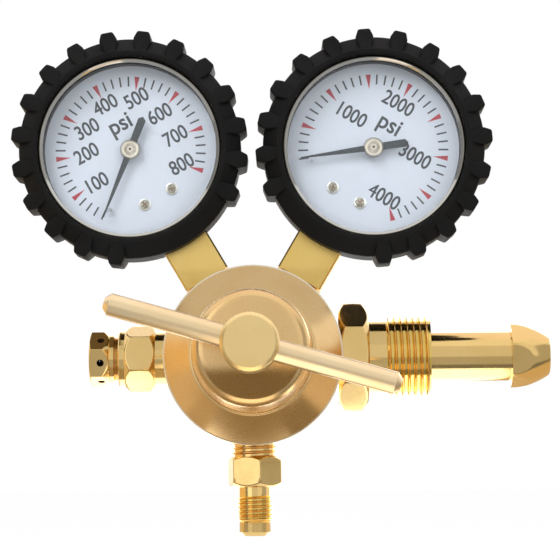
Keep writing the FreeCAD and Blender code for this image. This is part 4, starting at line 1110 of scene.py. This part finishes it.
def boot_tooth(turn):
    """One lug: a wedge in plan, widest at the boot's rim, standing out from its sloped front."""
    front_toe = boot_front - 0.05
    front_tip = boot_front - boot_tooth_slope
    share = (boot_radius - boot_lip_radius) / (boot_tooth_radius - boot_lip_radius)
    front_rim = front_toe + (front_tip - front_toe) * share
    plan = [
        (boot_lip_radius - 0.5, boot_tooth_toe, front_toe, boot_shoulder),
        (boot_radius - 0.3, boot_tooth_base, front_rim, boot_tread_back),
        (boot_tooth_radius, boot_tooth_top, front_tip, boot_tread_back + boot_tooth_slope),
    ]
    fore = [(radius, width / 2 - boot_tooth_draft, front) for radius, width, front, _ in plan]
    aft = [(radius, width / 2, rear) for radius, width, _, rear in plan]
    place = Matrix.Rotation(turn, 3, "Z")
    ends = []
    for half in (fore, aft):
        outline = half + [(radius, -across, height) for radius, across, height in reversed(half)]
        ends.append([tuple(place @ Vector(point)) for point in outline])
    return prism(*ends)


def boot_lugs(place):
    count = int(round(360 / boot_tooth_pitch))
    lugs = [boot_tooth(math.radians(-90 + k * boot_tooth_pitch - boot_tooth_turn))
            for k in range(1 + boot_teeth_left_out, count - boot_teeth_left_out)]
    teeth = mesh_object("lugs", *collect(lugs), place, "boot_rubber")
    soften = teeth.modifiers.new("soften", "BEVEL")
    soften.width = boot_tooth_rounding * mm
    soften.segments = 4
    soften.limit_method = "ANGLE"
    soften.angle_limit = math.radians(20.0)
    bake(teeth)
    return teeth


def gauge_boot(side, place):
    skin = Skin(even_columns(240))
    skin.rings(rounded([
        (boot_bezel_bore, boot_step, 0), (boot_bezel_bore, boot_front, 0.6),
        (boot_lip_radius, boot_front, 0.6), (boot_radius, boot_shoulder, 1.2),
        (boot_radius, boot_tread_back, 0.8),
        (boot_skirt_radius, boot_skirt_front, 0.8), (boot_skirt_radius, boot_back + boot_back_chamfer, 0.5),
        (boot_skirt_radius - boot_back_chamfer, boot_back, 0.5), (boot_back_lip_radius, boot_back, 0.5),
        (boot_back_lip_radius, boot_case_back, 0), (boot_case_bore, boot_case_back, 0),
        (boot_case_bore, boot_step, 0),
    ]))
    skin.close()
    boot = skin.make(side + "gauge_boot_cover", place, "boot_rubber", turned_crease)
    half = stem_width / 2 + stem_gap
    corners = [(x, y, z) for x in (-half, half) for y in stem_hole_reach for z in (-half, half)]
    sides = [(0, 1, 3, 2), (4, 6, 7, 5), (0, 4, 5, 1), (2, 3, 7, 6), (0, 2, 6, 4), (1, 5, 7, 3)]
    boolean(boot, mesh_object("stem_hole", corners, sides, place, "boot_rubber"))
    boolean(boot, boot_lugs(place), "UNION")
    tidy_mesh(boot.data, turned_crease)
    finish_piece(level(boot), "regulator", "boot_rubber", side + "gauge_boot")


def pointer_cap(side, place):
    """The polished cap on the pointer, with a small dimple painted dark as painted shade, over a blind bore.
    """
    top = pointer_front + pointer_cap_height
    bore_end = pointer_front + 0.3
    skin = Skin(even_columns(96))
    skin.rings([(pointer_bore, pointer_front)])
    skin.rings(rounded([
        (pointer_cap_radius, pointer_front, 0.05), (pointer_cap_radius, pointer_front + 0.45, 0.12),
        (pointer_cap_radius - 0.32, top - 0.08, 0.2),
    ]))
    skin.rings([(0.9, top - 0.01), (0.36, top), (0.28, top - 0.25), (0.0, top - 0.32)])
    bore = Skin(skin.angles)
    bore.rings([(pointer_bore, pointer_front), (pointer_bore, bore_end), (0.0, bore_end)])
    points, faces = collect([(skin.points, skin.faces), (bore.points, bore.faces)])
    cap = mesh_object(side + "gauge_pointer_cap", points, faces, place, "hub_champagne", fitting_crease)
    # The dimple is painted dark: painted shade.
    paint(cap, "dimple_painted_shade", lambda r, z: r < 0.34 and z > top - 0.5)
    finish_piece(level(cap), side + "pointer", "brass", side + "gauge_pointer_hub")


def screw_place(angle):
    return dial_screw_ring * math.cos(angle), dial_screw_ring * math.sin(angle)


def dial_screw(angle):
    """One round-headed screw with a flange, as a lathe's skin moved to its place on the dial."""
    top = dial_front + dial_screw_height
    skin = Skin(even_columns(64))
    skin.rings([
        (0.0, dial_screw_start), (dial_screw_shank, dial_screw_start), (dial_screw_shank, dial_front),
    ])
    skin.rings(rounded([
        (dial_screw_radius, dial_front, 0.05), (dial_screw_radius, dial_front + 0.25, 0.08),
        (dial_screw_radius - 0.28, dial_front + 0.32, 0.08), (dial_screw_radius - 0.42, top - 0.12, 0.3),
    ]))
    skin.rings([(0.6, top - 0.01), (0.0, top)])
    x, y = screw_place(angle)
    return [(px + x, py + y, pz) for px, py, pz in skin.points], skin.faces


def cross_recess(angle, turn):
    """The cutter of a screw's cross recess: a plus in plan, narrowing downwards."""
    top = dial_front + dial_screw_height
    x, y = screw_place(angle)
    side = recess_width / 2
    arm = [(recess_reach, -side), (recess_reach, side), (side, side)]
    plus = [Matrix.Rotation(turn + math.radians(90 * k), 2) @ Vector(c) for k in range(4) for c in arm]
    foot = [(x + recess_taper * c.x, y + recess_taper * c.y, top - recess_depth) for c in plus]
    return prism(foot, [(x + c.x, y + c.y, top + 0.2) for c in plus])


def dial_screw_pair(side, place):
    angles = [math.radians(-90 + way * dial_screw_spread) for way in (-1, 1)]
    heads = mesh_object(side + "gauge_dial_screw_pair", *collect([dial_screw(angle) for angle in angles]),
                        place, "screw_silver", fitting_crease)
    recesses = [cross_recess(angle, angle + turn) for angle, turn in zip(angles, recess_turns)]
    # The cut recess faces take the dark brown of the cutter: painted shade in the recesses.
    boolean(heads, mesh_object("recesses", *collect(recesses), place, "recess_brown"))
    tidy_mesh(heads.data, fitting_crease)
    finish_piece(level(heads), "regulator", "nickel", side + "gauge_dial_screws")


def clock_point(radius, clock):
    angle = math.radians(90.0 - clock)
    return radius * math.cos(angle), radius * math.sin(angle)


def radial_mark(inner, clock, inner_width, outer_width):
    """A mark on the dial from a radius out to the scale's rim, as a thin solid."""
    along = Vector(clock_point(1.0, clock))
    across = Vector((-along.y, along.x))
    corners = [along * inner - across * inner_width / 2, along * tick_outer - across * outer_width / 2,
               along * tick_outer + across * outer_width / 2, along * inner + across * inner_width / 2]
    low = dial_front - 0.02
    high = dial_front + print_height
    return prism([(c.x, c.y, low) for c in corners], [(c.x, c.y, high) for c in corners])


def words(text, x, y, height, squeeze, gain):
    """A line of text as a thin raised solid, centred on a point of the dial and thickened a little."""
    curve = bpy.data.curves.new("words", "FONT")
    curve.body = text
    curve.resolution_u = 6
    holder = bpy.data.objects.new("words", curve)
    bpy.context.scene.collection.objects.link(holder)
    flat = evaluated_mesh(holder)
    scale = height / digit_height
    reach = [v.co.x for v in flat.vertices]
    middle = (min(reach) + max(reach)) / 2
    work = bmesh.new()
    work.from_mesh(flat)
    bmesh.ops.remove_doubles(work, verts=work.verts, dist=1e-4)
    for vertex in work.verts:
        across = (vertex.co.x - middle) * scale * squeeze
        vertex.co = Vector((across + x, (vertex.co.y - digit_height / 2) * scale + y, 0.0))
    moves = {v: outward(v) * gain for v in work.verts if v.is_boundary}
    for vertex, move in moves.items():
        vertex.co += move
    points = [(v.co.x, v.co.y, z) for z in (dial_front + print_height, dial_front) for v in work.verts]
    count = len(work.verts)
    faces = []
    for face in work.faces:
        ring = [v.index for v in face.verts]
        faces += [tuple(ring), tuple(count + k for k in reversed(ring))]
    for edge in work.edges:
        if edge.is_boundary:
            a, b = (v.index for v in edge.verts)
            faces.append((a, b, count + b, count + a))
    work.free()
    bpy.data.objects.remove(holder)
    bpy.data.curves.remove(curve)
    bpy.data.meshes.remove(flat)
    return points, faces


def outward(vertex):
    """The direction that an outline's corner moves in when its stroke thickens."""
    total = Vector((0.0, 0.0, 0.0))
    for edge in vertex.link_edges:
        if not edge.is_boundary:
            continue
        start, end = (v.co for v in edge.verts)
        side = Vector(((end - start).y, -(end - start).x, 0.0)).normalized()
        if side.dot((start + end) / 2 - edge.link_faces[0].calc_center_median()) < 0:
            side.negate()
        total += side
    if total.length < 1e-6:
        return total
    return total.normalized() * min(2.0 / max(total.length, 1.0), mitre_limit)


def dial_print(side, place, labels):
    """The scale's small dark and long red marks, its numbers and its unit."""
    marks = []
    reds = []
    count = major_steps * minor_steps
    for k in range(1, count + 1):
        clock = scale_start + k * scale_sweep / count
        if k % minor_steps:
            marks.append(radial_mark(tick_inner, clock, tick_width, tick_width))
        else:
            reds.append(radial_mark(major_inner, clock, major_inner_width, major_width))
    marks += [words(*label) for label in labels]
    for name, shapes, ink in (("gauge_scale", marks, "ink_dark"), ("gauge_scale_red", reds, "ink_red")):
        thing = mesh_object(side + name, *collect(shapes), place, ink)
        finish_piece(level(thing), "regulator", "pointer_dark")


def dial_labels(worth, places, unit_place):
    """The numbers of a dial and its unit. Each place is a radius and a turn off the number's own mark."""
    labels = []
    for k, (radius, turn) in enumerate(places, 1):
        x, y = clock_point(radius, scale_start + k * scale_sweep / len(places) + turn)
        labels.append((str(worth * k), x, y, numeral_height, numeral_squeeze, numeral_gain))
    return labels + [("psi", *unit_place, unit_height, unit_squeeze, unit_gain)]


def gauges():
    low_labels = dial_labels(100, low_label_places, low_unit_place)
    high_labels = dial_labels(1000, high_label_places, high_unit_place)
    for side, clock, labels, turn in (("low_", low_gauge_angle, low_labels, low_print_turn),
                                      ("high_", high_gauge_angle, high_labels, high_print_turn)):
        place = gauge_frame(clock)
        gauge_bezel(side, place)
        gauge_boot(side, place)
        dial_print(side, place @ spin(turn, "Z"), labels)
        pointer_cap(side, place)
        dial_screw_pair(side, place)


# Stage

def sheet(name, spans, material):
    """A rectangle in metres. Two of its x, y and z are spans, and the third is where it stands."""
    first, second = [k for k in range(3) if isinstance(spans[k], tuple)]
    points = []
    for u, v in ((0, 0), (1, 0), (1, 1), (0, 1)):
        corner = list(spans)
        corner[first] = spans[first][u]
        corner[second] = spans[second][v]
        points.append([c / mm for c in corner])
    thing = mesh_object(name, points, [(0, 1, 2, 3)], Matrix.Identity(4), material)
    return thing


def stage():
    """A pale floor and backdrop, which look white wherever a camera, metal or glass sees them."""
    tree, shader = new_material("paper")
    feed(tree, shader, {"Base Color": (0.86, 0.86, 0.86), "Roughness": 0.9})
    glow = add(tree, "ShaderNodeEmission", {"Color": white})
    share = math_node(tree, "MULTIPLY", seen_rays(tree), 0.97)
    mix_shaders(tree, share, shader.outputs[0], glow.outputs[0])
    sheet("floor", ((-floor_reach, floor_reach), (-floor_reach, floor_reach), floor_height), "paper")


def world():
    scene = bpy.context.scene
    scene.world = bpy.data.worlds.new("studio")
    scene.world.use_nodes = True
    tree = scene.world.node_tree
    strength = remap(tree, seen_rays(tree), 0.0, 1.0, world_strength, 1.0)
    feed(tree, tree.nodes["Background"], {"Strength": strength, "Color": white})
    scene.view_settings.view_transform = "Standard"


def lamp(name, place, size, power):
    """A lamp of a size in metres, aimed at the body, that metal doesn't mirror."""
    data = bpy.data.lights.new(name, "AREA")
    data.shape = "RECTANGLE"
    data.size, data.size_y = size
    data.energy = power
    thing = bpy.data.objects.new(name, data)
    bpy.context.scene.collection.objects.link(thing)
    thing.location = place
    aim = Vector((body_axis_x, 0.0, lamp_target_height)) - Vector(place)
    thing.rotation_euler = aim.to_track_quat("-Z", "Y").to_euler()
    thing.visible_glossy = False


def lights():
    lamp("key", (-0.65, -0.75, 0.75), (0.5, 0.5), 5.0)
    lamp("fill", (0.60, -0.70, 0.35), (0.5, 0.6), 2.6)
    lamp("top", (-0.05, 0.10, 0.95), (0.7, 0.5), 4.0)


def card(name, x, y, z, strength, colour=white, soft=False):
    """A sheet of light or shade that only metal and glass see. Two of x, y and z are spans."""
    tree, _ = new_material(name)
    glow = add(tree, "ShaderNodeEmission", {"Color": colour, "Strength": strength}).outputs[0]
    if soft:
        across = [axis for axis, span in zip("XYZ", (x, y, z)) if isinstance(span, tuple)]
        clear = add(tree, "ShaderNodeBsdfTransparent").outputs[0]
        mix_shaders(tree, fading_edge(tree, across), clear, glow)
    else:
        feed(tree, tree.nodes["Material Output"], {"Surface": glow})
    thing = sheet(name, (x, y, z), name)
    thing.visible_camera = False
    thing.visible_diffuse = False
    thing.visible_shadow = False


def fading_edge(tree, across):
    """One in the middle of a sheet, falling to nothing at its edges."""
    where = add(tree, "ShaderNodeTexCoord").outputs["Generated"]
    split = add(tree, "ShaderNodeSeparateXYZ", {0: where})
    shares = []
    for axis in across:
        far = math_node(tree, "ABSOLUTE", remap(tree, split.outputs[axis], 0.0, 1.0, -1.0, 1.0))
        shares.append(remap(tree, far, fade_start, 1.0, 1.0, 0.0))
    return math_node(tree, "MULTIPLY", *shares)


def cards():
    """What the studio shows the metal: bright paper below, behind and above, dimmer room in front."""
    paper = floor_height + 0.0002
    middle = body_axis_x
    warm = (1.0, 0.80, 0.55)
    brown = (1.0, 0.76, 0.46)
    left = middle - 0.062
    relief = middle - 0.024
    inlet = middle + 0.037
    right = middle + 0.082
    far_left = middle - 2.0
    far_right = middle + 1.6
    card("paper_back_left", (far_left, left), (0.0, 1.5), paper, 0.75, warm)
    card("paper_relief", (left, relief), (0.0045, 0.3), paper, 2.6)
    card("paper_middle", (relief, inlet), (0.030, 0.3), paper, 2.6)
    card("paper_inlet", (inlet, right), (-0.042, 0.3), paper, 2.6)
    card("paper_back_right", (right, far_right), (-0.042, 1.5), paper, 0.7, warm)
    card("edge_left", (far_left, middle - 0.033), (-0.085, 0.0), floor_height + 0.0001, 0.4, warm)
    card("edge_right", (middle + 0.033, far_right), (-0.085, -0.042), floor_height + 0.0001, 0.22)
    card("paper_under", (middle - 0.035, middle + 0.035), (-0.16, -0.035), floor_height + 0.0003, 1.7,
         (1.0, 0.9, 0.78))
    card("table_front", (far_left, far_right), (-0.9, -0.085), floor_height + 0.00005, 0.5)
    card("shade_under", (middle - 0.040, middle + 0.040), (-0.055, -0.006), -0.047, 0.30, brown, soft=True)
    card("shade_right", (middle + 0.012, middle + 0.038), (-0.029, -0.004), -0.030, 0.26, brown, soft=True)
    card("shade_left", (middle - 0.038, middle - 0.018), (-0.029, -0.004), -0.030, 0.55, warm, soft=True)
    card("veil_above", (middle - 0.052, middle + 0.052), (-0.040, -0.009), 0.0255, 0.68)
    card("veil_cap", (middle - 0.052, middle - 0.040), (-0.020, 0.012), 0.0225, 0.14, brown)
    card("shade_crown", (middle - 0.021, middle + 0.021), -0.060, (-0.0225, -0.0050), 0.20, brown, soft=True)
    card("glow_left", middle - 0.30, (-0.1, 0.6), (-0.05, 0.08), 0.95, (1.0, 0.72, 0.36))
    card("sky", (-1.5, 1.5), (-0.2, 1.5), 1.3, 1.1, (1.0, 0.93, 0.95))
    card("room_back_left", (-1.6, -0.55), 1.5, (floor_height, 1.0), 1.3)
    card("room_back", (-0.55, 1.5), 1.5, (floor_height, 1.0), 2.6)
    card("room_front", (-0.44, 0.27), -0.9, (floor_height, 0.95), 0.76)
    card("room_front_left", (-2.0, -0.44), -0.9, (floor_height, 0.95), 1.35)
    card("room_front_right", (0.27, 1.5), -0.9, (floor_height, 0.95), 0.9)
    card("room_left", -1.3, (-0.9, 0.1), (floor_height, 0.9), 0.3)
    card("room_right", 1.2, (-0.9, 0.1), (floor_height, 0.9), 0.5)


def camera():
    """The photograph's view: its place, its turn, pitch and roll, and its lens."""
    data = bpy.data.cameras.new("camera")
    data.sensor_width = 36.0
    data.lens = camera_lens
    data.clip_start = 0.01
    data.clip_end = 50.0
    thing = bpy.data.objects.new("camera", data)
    bpy.context.scene.collection.objects.link(thing)
    aim = spin(camera_turn, "Z") @ spin(90.0 + camera_pitch, "X") @ spin(camera_roll, "Z")
    thing.matrix_world = shift(*camera_place) @ aim
    bpy.context.scene.camera = thing


dress_nodes()
bonnet()
adjusting_screw()
handle_bar()
inlet_nipple()
inlet_nut()
relief_body()
relief_washer()
relief_cap()
outlet_fitting()
gauges()
stage()
world()
lights()
cards()
camera()
